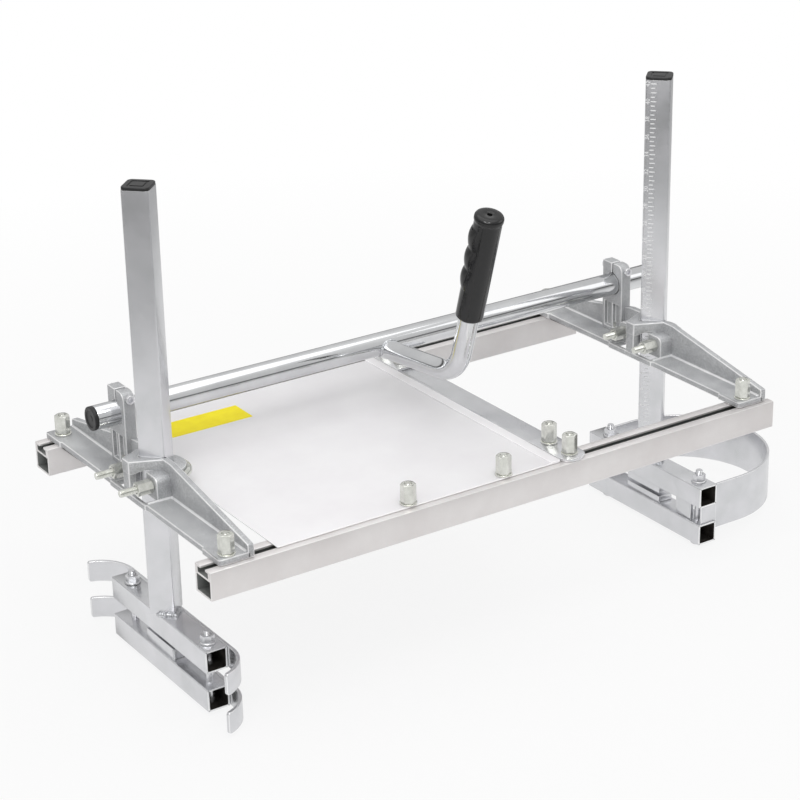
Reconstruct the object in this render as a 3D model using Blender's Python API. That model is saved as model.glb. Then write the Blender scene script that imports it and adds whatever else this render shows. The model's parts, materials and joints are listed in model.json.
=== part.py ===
"""Chainsaw log cutting frame: two slotted rails, two cast end brackets, two square posts that carry
the guide bar clamps, a sheet guard, a cross brace and a pipe with a push handle.

Units are metres, +Z is up. X runs along the rails and Y from the front rail to the rear rail.
The origin is on the floor under the middle of the frame.
"""
import bpy
import bmesh
from math import asin, cos, pi, radians, sin, sqrt
from mathutils import Matrix, Vector

NAME = "log_cutting_frame"
GAP = 0.0003
SINK = 0.002
CUT_PAST = 0.010

# Slotted rails
RAIL_LENGTH = 0.700
RAIL_SIZE = 0.030
RAIL_WALL = 0.002
SLOT_WIDTH = 0.009
SLOT_LIP = 0.0025
SLOT_CAVITY_WIDTH = 0.020
SLOT_CAVITY_HEIGHT = 0.006

# Cast end brackets
BRACKET_LEFT_X = 0.0134
BRACKET_RIGHT_INSET = 0.0455
BRACKET_FRONT_Y = 0.0055
BRACKET_LENGTH = 0.3745
REAR_SLOT_INSET = 0.016
FLANGE_WIDTH = 0.031
FLANGE_THICKNESS = 0.0065
FLANGE_WAIST = 0.002
FLANGE_END = 0.034
FLANGE_WAIST_RAMP = 0.012
FLANGE_WINDOW_MARGIN = 0.004
WEB_THICKNESS = 0.0072
WEB_HEIGHT = 0.042
WEB_END_HEIGHT = 0.014
WEB_END_RADIUS = 0.006
WEB_FLAT = 0.074
COLLAR_HEIGHT = 0.014
COLLAR_WALL = 0.007
PILLAR_WIDTH = 0.014
PILLAR_DEPTH = 0.008
WINDOW_LENGTH = 0.064
WINDOW_RIM = 0.0045
WINDOW_TO_WEB = 0.002
BRACKET_BOLT_X = 0.013
BOSS_WIDTH = 0.022
BOSS_HEIGHT = 0.024
BOSS_LENGTH = 0.016
BOSS_CORNER = 0.006

# Posts and their caps
POST_SIZE = 0.028
POST_WALL = 0.002
POST_CORNER = 0.002
POST_LENGTH = 0.4485
POST_X = 0.035
POST_CLEARANCE = 0.0004
CAP_HEIGHT = 0.0085
CAP_PLUG_LENGTH = 0.016
CAP_OVERHANG = 0.0003

# U-bolts and their saddles
U_BOLT_DIAMETER = 0.008
U_BOLT_SPACING = 0.052
U_BOLT_HEIGHT = 0.020
U_BOLT_OVERHANG = 0.0206
U_BOLT_NUT_FLATS = 0.013
U_BOLT_NUT_LENGTH = 0.0175
BORE_PLAY = 0.0008
SADDLE_RADIUS = 0.0245
SADDLE_THICKNESS = 0.014
SADDLE_OFFSET = 0.0028

# Coupling nuts on slot bolts
STUD_DIAMETER = 0.008
SLOT_NUT_FLATS = 0.014
SLOT_NUT_HEIGHT = 0.020
WASHER_DIAMETER = 0.018
WASHER_THICKNESS = 0.0016
SLOT_HEAD_LENGTH = 0.0086
SLOT_HEAD_WIDTH = 0.016
SLOT_HEAD_HEIGHT = 0.0042
STUD_TIP = 0.0012

# Sheet guard
GUARD_LEFT_X = 0.078
GUARD_RIGHT_X = 0.4157
GUARD_FRONT_Y = 0.008
GUARD_REAR_SETBACK = 0.0034
GUARD_THICKNESS = 0.0015
GUARD_HEM_WIDTH = 0.012
GUARD_HEM_RISE = 0.0012
GUARD_NUT_XS = (0.2325, 0.3486)

# Cross brace and its joint plates
BRACE_LEFT_X = 0.4163
BRACE_WIDTH = 0.0325
BRACE_HEIGHT = 0.020
BRACE_WALL = 0.0025
BRACE_LIP_WIDTH = 0.006
BRACE_LIP_RISE = 0.0010
BRACE_NUT_Y = 0.050
JOINT_PLATE_THICKNESS = 0.003
JOINT_PLATE_TAIL = 0.016

# Guide bar clamps
BAR_SIZE = 0.025
BAR_WALL = 0.002
BAR_CORNER = 0.0015
BAR_LENGTH = 0.203
BAR_OFFSET_Y = -0.0025
LEFT_BAR_GAP = 0.0185
RIGHT_BAR_GAP = 0.0215
LEFT_SLIT = 0.0045
RIGHT_SLIT = 0.0045
LEFT_UPPER_PAD = 0.0015
RIGHT_UPPER_PAD = 0.009
PAD_WIDTH = 0.020
PAD_LENGTH = 0.058
PAD_STOP_LENGTH = 0.026
PAD_STOP_THICKNESS = 0.0045
PAD_STOP_OFFSET_Y = -0.07275
PAD_TIE_THICKNESS = 0.0015
CLAMP_BOLT_DIAMETER = 0.008
CLAMP_BOLT_SPACING = 0.1615
CLAMP_BOLT_OFFSET_Y = -0.0037
CLAMP_HEAD_FLATS = 0.013
CLAMP_HEAD_HEIGHT = 0.0055
CLAMP_NUT_HEIGHT = 0.0075
CLAMP_NUT_FLANGE_DIAMETER = 0.0175
CLAMP_NUT_FLANGE_THICKNESS = 0.0018
CLAMP_BOLT_TIP = 0.005
LEFT_DROP = 0.1055

# Skid straps and nose guard
STRAP_THICKNESS = 0.004
STRAP_HEIGHT = 0.024
STRAP_BEND_RADIUS = 0.045
STRAP_RUN_OUT = 0.007
STRAP_BEND_ANGLE = radians(75)
NOSE_SETBACK = 0.0015
NOSE_STRAIGHT = 0.036
NOSE_THICKNESS = 0.003
NOSE_HEIGHT = 0.055
NOSE_DROP = 0.0012

# Handle
PIPE_DIAMETER = 0.0254
PIPE_WALL = 0.002
PIPE_LEFT_X = 0.014
PIPE_OVERHANG = 0.0695
PIPE_OFFSET_Y = 0.06525
PIPE_HEIGHT = 0.065
PLUG_RIM = 0.004
PLUG_LENGTH = 0.014
BRANCH_X = 0.3645
BRANCH_DIAMETER = 0.0215
BRANCH_WALL = 0.002
BRANCH_DROP = 0.0057
BRANCH_RISE = radians(6)
BRANCH_TAIL = 0.0037
BRANCH_REACH = 0.1112
BRANCH_BEND_RADIUS = 0.045
BRANCH_LEAN = radians(17.3)
BRANCH_NECK = 0.045
GRIP_DIAMETER = 0.029
GRIP_LENGTH = 0.124
GRIP_END_WALL = 0.017
GRIP_RIDGE = 0.0035
GRIP_RIDGE_RADIUS = 0.0105
GRIP_RIDGE_RUNOUT = 0.008
GRIP_RIDGE_SHIFT = 0.004
GRIP_GROOVE_RADIUS = 0.0135
GRIP_GROOVE_FLOOR = -0.0003
GRIP_GROOVES = 4
GRIP_GROOVE_PITCH = 0.021
GRIP_HOLE_DIAMETER = 0.006

# Pipe clamp blocks
BLOCK_X = 0.026
BLOCK_THICKNESS = 0.0133
BLOCK_WIDTH = 0.035
BLOCK_ABOVE_PIPE = 0.025
BLOCK_SPLIT = 0.003
BLOCK_CORNER = 0.009
BLOCK_POCKET_DEPTH = 0.005
BLOCK_POCKET_RIM = 0.004
BLOCK_POCKET_HEIGHT = 0.030
BLOCK_RIB = 0.003
PINCH_DIAMETER = 0.005
PINCH_ABOVE_PIPE = 0.0185
PINCH_HEAD_DIAMETER = 0.0095
PINCH_HEAD_HEIGHT = 0.004
PINCH_NUT_HEIGHT = 0.003
FOOT_SCREW_DIAMETER = 0.005
FOOT_SCREW_INSET = 0.0035
FOOT_SCREW_DEPTH = 0.010
FOOT_HEAD_DIAMETER = 0.0095
FOOT_HEAD_HEIGHT = 0.004

# Places worked out from the sizes above
LEFT_CLAMP_HEIGHT = CLAMP_HEAD_HEIGHT + GAP + BAR_SIZE + LEFT_BAR_GAP + BAR_SIZE
RAIL_BOTTOM = LEFT_CLAMP_HEIGHT + LEFT_DROP
RIGHT_DROP = LEFT_DROP + LEFT_BAR_GAP - RIGHT_BAR_GAP
RAIL_TOP = RAIL_BOTTOM + RAIL_SIZE
BRACKET_RIGHT_X = RAIL_LENGTH - BRACKET_RIGHT_INSET
BRACKET_PITCH = BRACKET_RIGHT_X - BRACKET_LEFT_X
FRONT_SLOT_Y = RAIL_SIZE / 2
REAR_SLOT_Y = BRACKET_FRONT_Y + BRACKET_LENGTH - REAR_SLOT_INSET
RAIL_PITCH = REAR_SLOT_Y - FRONT_SLOT_Y
GUARD_REAR_Y = REAR_SLOT_Y - GUARD_REAR_SETBACK
POST_Y = BRACKET_FRONT_Y + BRACKET_LENGTH / 2
BAR_Y = POST_Y + BAR_OFFSET_Y
CLAMP_BOLT_YS = [BAR_Y + CLAMP_BOLT_OFFSET_Y + side * CLAMP_BOLT_SPACING / 2 for side in (-1, 1)]
SEAT = RAIL_TOP + GAP
FLANGE_TOP = SEAT + FLANGE_THICKNESS
PIPE_Y = POST_Y + PIPE_OFFSET_Y
PIPE_Z = RAIL_TOP + PIPE_HEIGHT
PIPE_LENGTH = BRACKET_RIGHT_X + PIPE_OVERHANG - PIPE_LEFT_X
GRIP_INSERT = GRIP_LENGTH - GRIP_END_WALL
FOOT_SCREW_X = BLOCK_X + FOOT_SCREW_INSET
NOSE_RADIUS = BAR_LENGTH / 2 - NOSE_SETBACK
NOSE_TIP_X = BRACKET_RIGHT_X + POST_X + BAR_SIZE / 2 + GAP + NOSE_STRAIGHT + NOSE_RADIUS
LOW_X = min(0.0, BRACKET_LEFT_X - U_BOLT_OVERHANG)
HIGH_X = max(RAIL_LENGTH, NOSE_TIP_X)
LOW_Y = min(0.0, BRACKET_FRONT_Y)
HIGH_Y = max(RAIL_PITCH + RAIL_SIZE, BRACKET_FRONT_Y + BRACKET_LENGTH)
MIDDLE_X = (LOW_X + HIGH_X) / 2
MIDDLE_Y = (LOW_Y + HIGH_Y) / 2

# Colour, metallic and roughness of each material
MATERIALS = {
    "rail_aluminium": ((0.72, 0.70, 0.69), 0.9, 0.35),
    "cast_aluminium": ((0.45, 0.45, 0.46), 0.8, 0.50),
    "zinc_steel": ((0.62, 0.63, 0.64), 1.0, 0.28),
    "zinc_fastener": ((0.58, 0.56, 0.47), 1.0, 0.35),
    "chrome_tube": ((0.70, 0.70, 0.71), 1.0, 0.15),
    "guard_sheet": ((0.80, 0.79, 0.80), 0.3, 0.35),
    "black_plastic": ((0.02, 0.02, 0.02), 0.0, 0.45),
    "grip_plastic": ((0.03, 0.03, 0.03), 0.0, 0.35),
}

# Local axes of an outline, so that its depth runs along X, Y or Z
ALONG = {
    "X": Matrix(((0, 0, 1), (1, 0, 0), (0, 1, 0))).to_4x4(),
    "Y": Matrix(((0, 1, 0), (0, 0, 1), (1, 0, 0))).to_4x4(),
    "Z": Matrix.Identity(4),
}


def at(x, y, z):
    """World place of a point measured from the front rail's left end, at height z above the floor."""
    return Vector((x - MIDDLE_X, y - MIDDLE_Y, z))


def clear_scene():
    for obj in list(bpy.data.objects):
        bpy.data.objects.remove(obj, do_unlink=True)


def make_collections():
    made = []
    for name in (NAME, "cutters"):
        collection = bpy.data.collections.new(name)
        bpy.context.scene.collection.children.link(collection)
        made.append(collection)
    return made


def make_materials():
    for name, (colour, metallic, roughness) in MATERIALS.items():
        material = bpy.data.materials.new(name)
        material.use_nodes = True
        shader = material.node_tree.nodes["Principled BSDF"]
        shader.inputs["Base Color"].default_value = (*colour, 1.0)
        shader.inputs["Metallic"].default_value = metallic
        shader.inputs["Roughness"].default_value = roughness


def add_object(name, mesh, place):
    obj = bpy.data.objects.new(name, mesh)
    obj.location = place
    parts.objects.link(obj)
    return obj


def mesh_from(name, bm):
    mesh = bpy.data.meshes.new(name)
    bm.to_mesh(mesh)
    bm.free()
    return mesh


def box(name, size, place):
    bm = bmesh.new()
    bmesh.ops.create_cube(bm, size=1.0)
    bmesh.ops.scale(bm, vec=size, verts=bm.verts)
    return add_object(name, mesh_from(name, bm), place)


def span_box(name, low, high):
    """Box between two opposite corners."""
    low, high = Vector(low), Vector(high)
    return box(name, high - low, (low + high) / 2)


def rod(name, diameter, length, axis, place, sides=20):
    bm = bmesh.new()
    bmesh.ops.create_cone(bm, cap_ends=True, segments=sides, radius1=diameter / 2,
                          radius2=diameter / 2, depth=length)
    bmesh.ops.transform(bm, matrix=ALONG[axis], verts=bm.verts)
    return add_object(name, mesh_from(name, bm), place)


def hexagon(name, flats, length, axis, place):
    return rod(name, flats / cos(pi / 6), length, axis, place, sides=6)


def ring_cutter(name, radius, tube_radius, place):
    """Torus about Z, closed, for a round groove."""
    bpy.ops.mesh.primitive_torus_add(major_radius=radius, minor_radius=tube_radius,
                                     major_segments=40, minor_segments=10, location=place)
    obj = bpy.context.object
    obj.name = name
    for collection in obj.users_collection:
        collection.objects.unlink(obj)
    parts.objects.link(obj)
    return obj


def mesh_of_curve(name, curve_object):
    """Mesh of a curve object, with its caps welded on. The curve is removed."""
    graph = bpy.context.evaluated_depsgraph_get()
    mesh = bpy.data.meshes.new_from_object(curve_object.evaluated_get(graph))
    mesh.name = name
    bpy.data.objects.remove(curve_object)
    bm = bmesh.new()
    bm.from_mesh(mesh)
    bmesh.ops.remove_doubles(bm, verts=bm.verts, dist=1e-6)
    bmesh.ops.recalc_face_normals(bm, faces=bm.faces)
    bm.to_mesh(mesh)
    bm.free()
    return mesh


def outline(name, loops, depth, axis, place):
    """Flat outline with holes, given depth along an axis and centred on it.

    Its two coordinates are Y and Z along X, Z and X along Y, and X and Y along Z.
    """
    curve = bpy.data.curves.new(name, "CURVE")
    curve.dimensions = "2D"
    curve.fill_mode = "BOTH"
    curve.extrude = depth / 2
    for points in loops:
        spline = curve.splines.new("POLY")
        spline.points.add(len(points) - 1)
        for item, (u, v) in zip(spline.points, points):
            item.co = (u, v, 0.0, 1.0)
        spline.use_cyclic_u = True
    curve_object = bpy.data.objects.new(name, curve)
    parts.objects.link(curve_object)
    mesh = mesh_of_curve(name, curve_object)
    mesh.transform(ALONG[axis])
    return add_object(name, mesh, place)


def wire(name, points, diameter, place, roundness=3):
    """Round bar or tube blank that follows a list of points."""
    curve = bpy.data.curves.new(name, "CURVE")
    curve.dimensions = "3D"
    curve.bevel_depth = diameter / 2
    curve.bevel_resolution = roundness
    curve.use_fill_caps = True
    spline = curve.splines.new("POLY")
    spline.points.add(len(points) - 1)
    for item, point in zip(spline.points, points):
        item.co = (*point, 1.0)
    curve_object = bpy.data.objects.new(name, curve)
    parts.objects.link(curve_object)
    return add_object(name, mesh_of_curve(name, curve_object), place)


def combine(obj, tool, operation):
    """Cut or join obj with tool, which becomes a hidden guide."""
    modifier = obj.modifiers.new(tool.name, "BOOLEAN")
    modifier.operation = operation
    modifier.solver = "EXACT"
    modifier.object = tool
    parts.objects.unlink(tool)
    cutters.objects.link(tool)
    tool.hide_render = True
    tool.display_type = "WIRE"


def cut(obj, *tools):
    for tool in tools:
        combine(obj, tool, "DIFFERENCE")


def join(obj, *tools):
    for tool in tools:
        combine(obj, tool, "UNION")


def bake(obj):
    """Replace the object's mesh by its cut and joined result, so that copies can share it."""
    graph = bpy.context.evaluated_depsgraph_get()
    mesh = bpy.data.meshes.new_from_object(obj.evaluated_get(graph))
    mesh.name = obj.name
    tools = [modifier.object for modifier in obj.modifiers]
    obj.modifiers.clear()
    obj.data = mesh
    for tool in tools:
        bpy.data.objects.remove(tool)


def copy_of(obj, name, place):
    """Separate object that shares a finished mesh."""
    return add_object(name, obj.data, place)


def finish(obj, material, parent=None, smooth=30.0):
    """Give the object its material, its shading and the empty it moves with."""
    obj.data.materials.clear()
    obj.data.materials.append(bpy.data.materials[material])
    obj.data.shade_smooth()
    obj.data.set_sharp_from_angle(angle=radians(smooth))
    if parent:
        obj.parent = parent
        obj.matrix_parent_inverse = Matrix.Translation(-parent.location)


def empty(name, place):
    obj = bpy.data.objects.new(name, None)
    obj.empty_display_size = 0.02
    obj.location = place
    parts.objects.link(obj)
    return obj


def arc(centre, radius, start, end, steps):
    return [(centre[0] + radius * cos(start + (end - start) * i / steps),
             centre[1] + radius * sin(start + (end - start) * i / steps)) for i in range(steps + 1)]


def circle(radius, sides=24, centre=(0.0, 0.0)):
    return arc(centre, radius, 0.0, 2 * pi, sides)[:-1]


def rectangle(half_u, half_v, radius=0.0, steps=2):
    """Rectangle about the origin, with round corners where a radius is given."""
    if not radius:
        return [(-half_u, -half_v), (half_u, -half_v), (half_u, half_v), (-half_u, half_v)]
    points = []
    corners = ((-1, -1, 180), (1, -1, 270), (1, 1, 0), (-1, 1, 90))
    for side_u, side_v, start in corners:
        centre = (side_u * (half_u - radius), side_v * (half_v - radius))
        points += arc(centre, radius, radians(start), radians(start + 90), steps)
    return points


def turned(points, angle):
    """Flat points turned about the origin."""
    return [(u * cos(angle) - v * sin(angle), u * sin(angle) + v * cos(angle)) for u, v in points]


def make_rails():
    """Square tube with a T slot along its top."""
    half = RAIL_SIZE / 2
    slot = SLOT_WIDTH / 2
    cavity = SLOT_CAVITY_WIDTH / 2
    lip = RAIL_SIZE - SLOT_LIP
    floor = lip - SLOT_CAVITY_HEIGHT
    outer = [(-half, 0), (half, 0), (half, RAIL_SIZE), (slot, RAIL_SIZE), (slot, lip), (cavity, lip),
             (cavity, floor), (-cavity, floor), (-cavity, lip), (-slot, lip), (-slot, RAIL_SIZE),
             (-half, RAIL_SIZE)]
    wide = half - RAIL_WALL
    inner = [(-wide, RAIL_WALL), (wide, RAIL_WALL), (wide, floor - RAIL_WALL),
             (-wide, floor - RAIL_WALL)]
    front = outline("front_rail", [outer, inner], RAIL_LENGTH, "X",
                    at(RAIL_LENGTH / 2, FRONT_SLOT_Y, RAIL_BOTTOM))
    rear = copy_of(front, "rear_rail", at(RAIL_LENGTH / 2, REAR_SLOT_Y, RAIL_BOTTOM))
    finish(front, "rail_aluminium")
    finish(rear, "rail_aluminium")


def bracket_flange(x, y):
    """Flat foot of the bracket, with a shallow waist in its outer edge."""
    end = BRACKET_LENGTH / 2
    pad = end - FLANGE_END
    window = WINDOW_LENGTH / 2
    rim = window + FLANGE_WINDOW_MARGIN
    edge = [(0, -end), (0, -pad), (FLANGE_WAIST, -pad + FLANGE_WAIST_RAMP),
            (FLANGE_WAIST, -rim - FLANGE_WAIST_RAMP), (0, -rim)]
    points = edge + [(u, -v) for u, v in reversed(edge)]
    points += [(FLANGE_WIDTH + WEB_THICKNESS / 2, end), (FLANGE_WIDTH + WEB_THICKNESS / 2, -end)]
    return outline("bracket_flange", [points], FLANGE_THICKNESS, "Z",
                   at(x, y, SEAT + FLANGE_THICKNESS / 2))


def bracket_web(x, y):
    """Upright wall, highest at the post and low at both ends."""
    end = BRACKET_LENGTH / 2
    flat = WEB_FLAT / 2
    slope = (WEB_HEIGHT - WEB_END_HEIGHT) / (end - flat)
    corner = arc((end - WEB_END_RADIUS, WEB_END_HEIGHT - WEB_END_RADIUS), WEB_END_RADIUS,
                 0.0, pi / 2, 4)
    half = [(end, 0)] + corner
    half += [(end - 2 * WEB_END_RADIUS, WEB_END_HEIGHT + slope * 2 * WEB_END_RADIUS)]
    half += [(flat, WEB_HEIGHT)]
    points = half + [(-u, v) for u, v in reversed(half)]
    return outline("bracket_web", [points], WEB_THICKNESS, "X",
                   at(x + FLANGE_WIDTH + WEB_THICKNESS / 2, y, SEAT))


def bracket_collar(x, y):
    """Band that joins the pillar to the web and holds the post's two outer faces."""
    half_pillar = PILLAR_WIDTH / 2
    corner = POST_SIZE / sqrt(2)
    root = corner + FLANGE_WIDTH - POST_X + COLLAR_WALL
    reach = FLANGE_WIDTH + WEB_THICKNESS / 2
    points = [(0, -half_pillar), (FLANGE_WIDTH, -root), (reach, -root), (reach, root),
              (FLANGE_WIDTH, root), (0, half_pillar)]
    band = outline("bracket_band", [points], COLLAR_HEIGHT, "Z",
                   at(x, y, SEAT + WEB_HEIGHT - COLLAR_HEIGHT / 2))
    pillar = span_box("bracket_pillar", at(x, y - half_pillar, SEAT + GAP),
                      at(x + PILLAR_DEPTH, y + half_pillar, SEAT + WEB_HEIGHT - GAP))
    return band, pillar


def post_hole(name, x, y, low, high):
    """Clearance prism around a post that is turned by 45 degrees."""
    half = POST_SIZE / 2 + POST_CLEARANCE
    return outline(name, [turned(rectangle(half, half), pi / 4)], high - low, "Z",
                   at(x + POST_X, y, (low + high) / 2))


def bracket_boss(x, y, side):
    """Block round one leg of the U-bolt, with a round corner on top away from the post."""
    half = BOSS_WIDTH / 2
    points = [(-half, BOSS_HEIGHT), (-half, -SINK), (half, -SINK)]
    points += arc((half - BOSS_CORNER, BOSS_HEIGHT - BOSS_CORNER), BOSS_CORNER, 0.0, pi / 2, 4)
    place = at(x + FLANGE_WIDTH + (SINK - BOSS_LENGTH) / 2, y + side * U_BOLT_SPACING / 2, FLANGE_TOP)
    return outline("leg_boss", [[(side * u, v) for u, v in points]], BOSS_LENGTH + SINK, "X", place)


def make_brackets():
    x, y = BRACKET_LEFT_X, POST_Y
    bracket = bracket_flange(x, y)
    bracket.name = "left_bracket"
    window = WINDOW_LENGTH / 2
    cut(bracket, span_box("flange_window", at(x + WINDOW_RIM, y - window, SEAT - CUT_PAST),
                          at(x + FLANGE_WIDTH - WINDOW_TO_WEB, y + window, FLANGE_TOP + CUT_PAST)))
    join(bracket, bracket_web(x, y), *bracket_collar(x, y))
    join(bracket, bracket_boss(x, y, -1), bracket_boss(x, y, 1))
    leg_z = SEAT + U_BOLT_HEIGHT
    leg_hole = 2 * (BOSS_LENGTH + WEB_THICKNESS + CUT_PAST)
    for side in (-1, 1):
        leg_y = y + side * U_BOLT_SPACING / 2
        cut(bracket, rod("leg_hole", U_BOLT_DIAMETER + BORE_PLAY, leg_hole, "X",
                         at(x + FLANGE_WIDTH, leg_y, leg_z)))
    cut(bracket, post_hole("post_hole", x, y, SEAT - CUT_PAST, SEAT + WEB_HEIGHT + CUT_PAST))
    foot_hole = 2 * (FLANGE_THICKNESS + CUT_PAST)
    for slot_y in (FRONT_SLOT_Y, REAR_SLOT_Y):
        cut(bracket, rod("stud_hole", STUD_DIAMETER + BORE_PLAY, foot_hole, "Z",
                         at(x + BRACKET_BOLT_X, slot_y, SEAT)))
    reach = BLOCK_WIDTH / 2 + GAP
    cut(bracket, span_box("block_notch", at(x + BLOCK_X - GAP, PIPE_Y - reach, FLANGE_TOP),
                          at(x + BLOCK_X + BLOCK_THICKNESS + CUT_PAST, PIPE_Y + reach,
                             FLANGE_TOP + WEB_HEIGHT)))
    cut(bracket, rod("foot_screw_hole", FOOT_SCREW_DIAMETER + BORE_PLAY, foot_hole, "Z",
                     at(x + FOOT_SCREW_X, PIPE_Y, SEAT)))
    bake(bracket)
    bracket.data.transform(Matrix.Translation(bracket.location - at(x + POST_X, y, SEAT)))
    bracket.location = at(x + POST_X, y, SEAT)
    finish(bracket, "cast_aluminium")
    right = copy_of(bracket, "right_bracket", at(BRACKET_RIGHT_X + POST_X, y, SEAT))
    finish(right, "cast_aluminium", movers["right_end"])


def make_post(side, x, drop):
    """Square tube turned by 45 degrees, welded on the upper clamp bar, with a cap on top."""
    mover = movers[side + "_post"]
    bottom = RAIL_BOTTOM - drop + GAP
    half = POST_SIZE / 2
    inner = half - POST_WALL
    outer_loop = turned(rectangle(half, half, POST_CORNER), pi / 4)
    inner_loop = turned(rectangle(inner, inner), pi / 4)
    post = outline(side + "_post", [outer_loop, inner_loop], POST_LENGTH, "Z",
                   at(x + POST_X, POST_Y, bottom + POST_LENGTH / 2))
    finish(post, "zinc_steel", mover)
    top = bottom + POST_LENGTH + GAP
    rim = half + CAP_OVERHANG
    cap = outline(side + "_post_cap", [turned(rectangle(rim, rim, POST_CORNER), pi / 4)],
                  CAP_HEIGHT, "Z", at(x + POST_X, POST_Y, top + CAP_HEIGHT / 2))
    plug = inner - GAP
    join(cap, outline("cap_plug", [turned(rectangle(plug, plug), pi / 4)], CAP_PLUG_LENGTH + SINK,
                      "Z", at(x + POST_X, POST_Y, top + (SINK - CAP_PLUG_LENGTH) / 2)))
    finish(cap, "black_plastic", mover)


def make_u_bolt(side, x, mover):
    """Round bar bent in a U round the saddle, with both legs through the bracket."""
    bend_x = FLANGE_WIDTH + WEB_THICKNESS + SADDLE_OFFSET
    half = U_BOLT_SPACING / 2
    start = -U_BOLT_OVERHANG
    leg_z = SEAT + U_BOLT_HEIGHT
    bend = arc((bend_x, 0.0), half, -pi / 2, pi / 2, 12)
    path = [(start, -half)] + bend + [(start, half)]
    bolt = wire(side + "_u_bolt", [(u, v, 0.0) for u, v in path], U_BOLT_DIAMETER,
                at(x, POST_Y, leg_z))
    finish(bolt, "zinc_fastener", mover)
    saddle_loop = arc((0.0, 0.0), SADDLE_RADIUS, -pi / 2, pi / 2, 16)
    saddle = outline(side + "_saddle", [saddle_loop], SADDLE_THICKNESS, "Z",
                     at(x + bend_x, POST_Y, leg_z))
    cut(saddle, ring_cutter("saddle_groove", half, U_BOLT_DIAMETER / 2 + 2 * GAP,
                            at(x + bend_x, POST_Y, leg_z)))
    cut(saddle, post_hole("saddle_notch", x, POST_Y, leg_z - SADDLE_THICKNESS,
                          leg_z + SADDLE_THICKNESS))
    finish(saddle, "cast_aluminium", mover)
    for index, leg_side in enumerate((-1, 1)):
        name = side + ("_u_bolt_front_nut", "_u_bolt_rear_nut")[index]
        nut_x = x + FLANGE_WIDTH - BOSS_LENGTH - GAP - U_BOLT_NUT_LENGTH / 2
        place = at(nut_x, POST_Y + leg_side * half, leg_z)
        nut = hexagon(name, U_BOLT_NUT_FLATS, U_BOLT_NUT_LENGTH, "X", place)
        cut(nut, rod("nut_bore", U_BOLT_DIAMETER + BORE_PLAY, 2 * U_BOLT_NUT_LENGTH, "X", place,
                     sides=16))
        finish(nut, "zinc_fastener", mover)


def slot_fastener(name, x, y, stack):
    """Slot bolt, washer and coupling nut that clamp a stack on top of a slot or a drilled wall."""
    lip_under = RAIL_TOP - SLOT_LIP
    head_top = lip_under - GAP
    head_low = head_top - SLOT_HEAD_HEIGHT
    washer_low = SEAT + stack + GAP
    nut_low = washer_low + WASHER_THICKNESS
    nut_top = nut_low + SLOT_NUT_HEIGHT
    shank_low = head_low + SLOT_HEAD_HEIGHT / 2
    shank_top = nut_top + STUD_TIP
    base = at(x, y, RAIL_TOP)
    obj = rod(name, STUD_DIAMETER, shank_top - shank_low, "Z",
              at(x, y, (shank_low + shank_top) / 2), sides=16)
    join(obj, box("slot_head", (SLOT_HEAD_LENGTH, SLOT_HEAD_WIDTH, SLOT_HEAD_HEIGHT),
                  at(x, y, head_low + SLOT_HEAD_HEIGHT / 2)))
    hex_height = SLOT_NUT_HEIGHT + WASHER_THICKNESS / 2
    join(obj, hexagon("coupling_nut", SLOT_NUT_FLATS, hex_height, "Z",
                      at(x, y, nut_top - hex_height / 2)))
    join(obj, rod("washer", WASHER_DIAMETER, WASHER_THICKNESS, "Z",
                  at(x, y, washer_low + WASHER_THICKNESS / 2)))
    bake(obj)
    obj.data.transform(Matrix.Translation(obj.location - base))
    obj.location = base
    return obj


def make_fasteners():
    x = BRACKET_LEFT_X + BRACKET_BOLT_X
    first = slot_fastener("left_front_rail_nut", x, FRONT_SLOT_Y, FLANGE_THICKNESS)
    rest = [("left_rear_rail_nut", x, REAR_SLOT_Y, None),
            ("right_front_rail_nut", x + BRACKET_PITCH, FRONT_SLOT_Y, movers["right_end"]),
            ("right_rear_rail_nut", x + BRACKET_PITCH, REAR_SLOT_Y, movers["right_end"])]
    finish(first, "zinc_fastener")
    for name, nut_x, nut_y, mover in rest:
        finish(copy_of(first, name, at(nut_x, nut_y, RAIL_TOP)), "zinc_fastener", mover)
    left = slot_fastener("guard_left_nut", GUARD_NUT_XS[0], FRONT_SLOT_Y, GUARD_THICKNESS)
    finish(left, "zinc_fastener")
    finish(copy_of(left, "guard_right_nut", at(GUARD_NUT_XS[1], FRONT_SLOT_Y, RAIL_TOP)),
           "zinc_fastener")
    nut_x = BRACE_LEFT_X + BRACE_WIDTH / 2
    places = [("brace_front_rail_nut", FRONT_SLOT_Y), ("brace_front_nut", BRACE_NUT_Y),
              ("brace_rear_nut", FRONT_SLOT_Y + REAR_SLOT_Y - BRACE_NUT_Y),
              ("brace_rear_rail_nut", REAR_SLOT_Y)]
    name, nut_y = places[0]
    first = slot_fastener(name, nut_x, nut_y, JOINT_PLATE_THICKNESS)
    finish(first, "zinc_fastener")
    for name, nut_y in places[1:]:
        finish(copy_of(first, name, at(nut_x, nut_y, RAIL_TOP)), "zinc_fastener")


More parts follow.
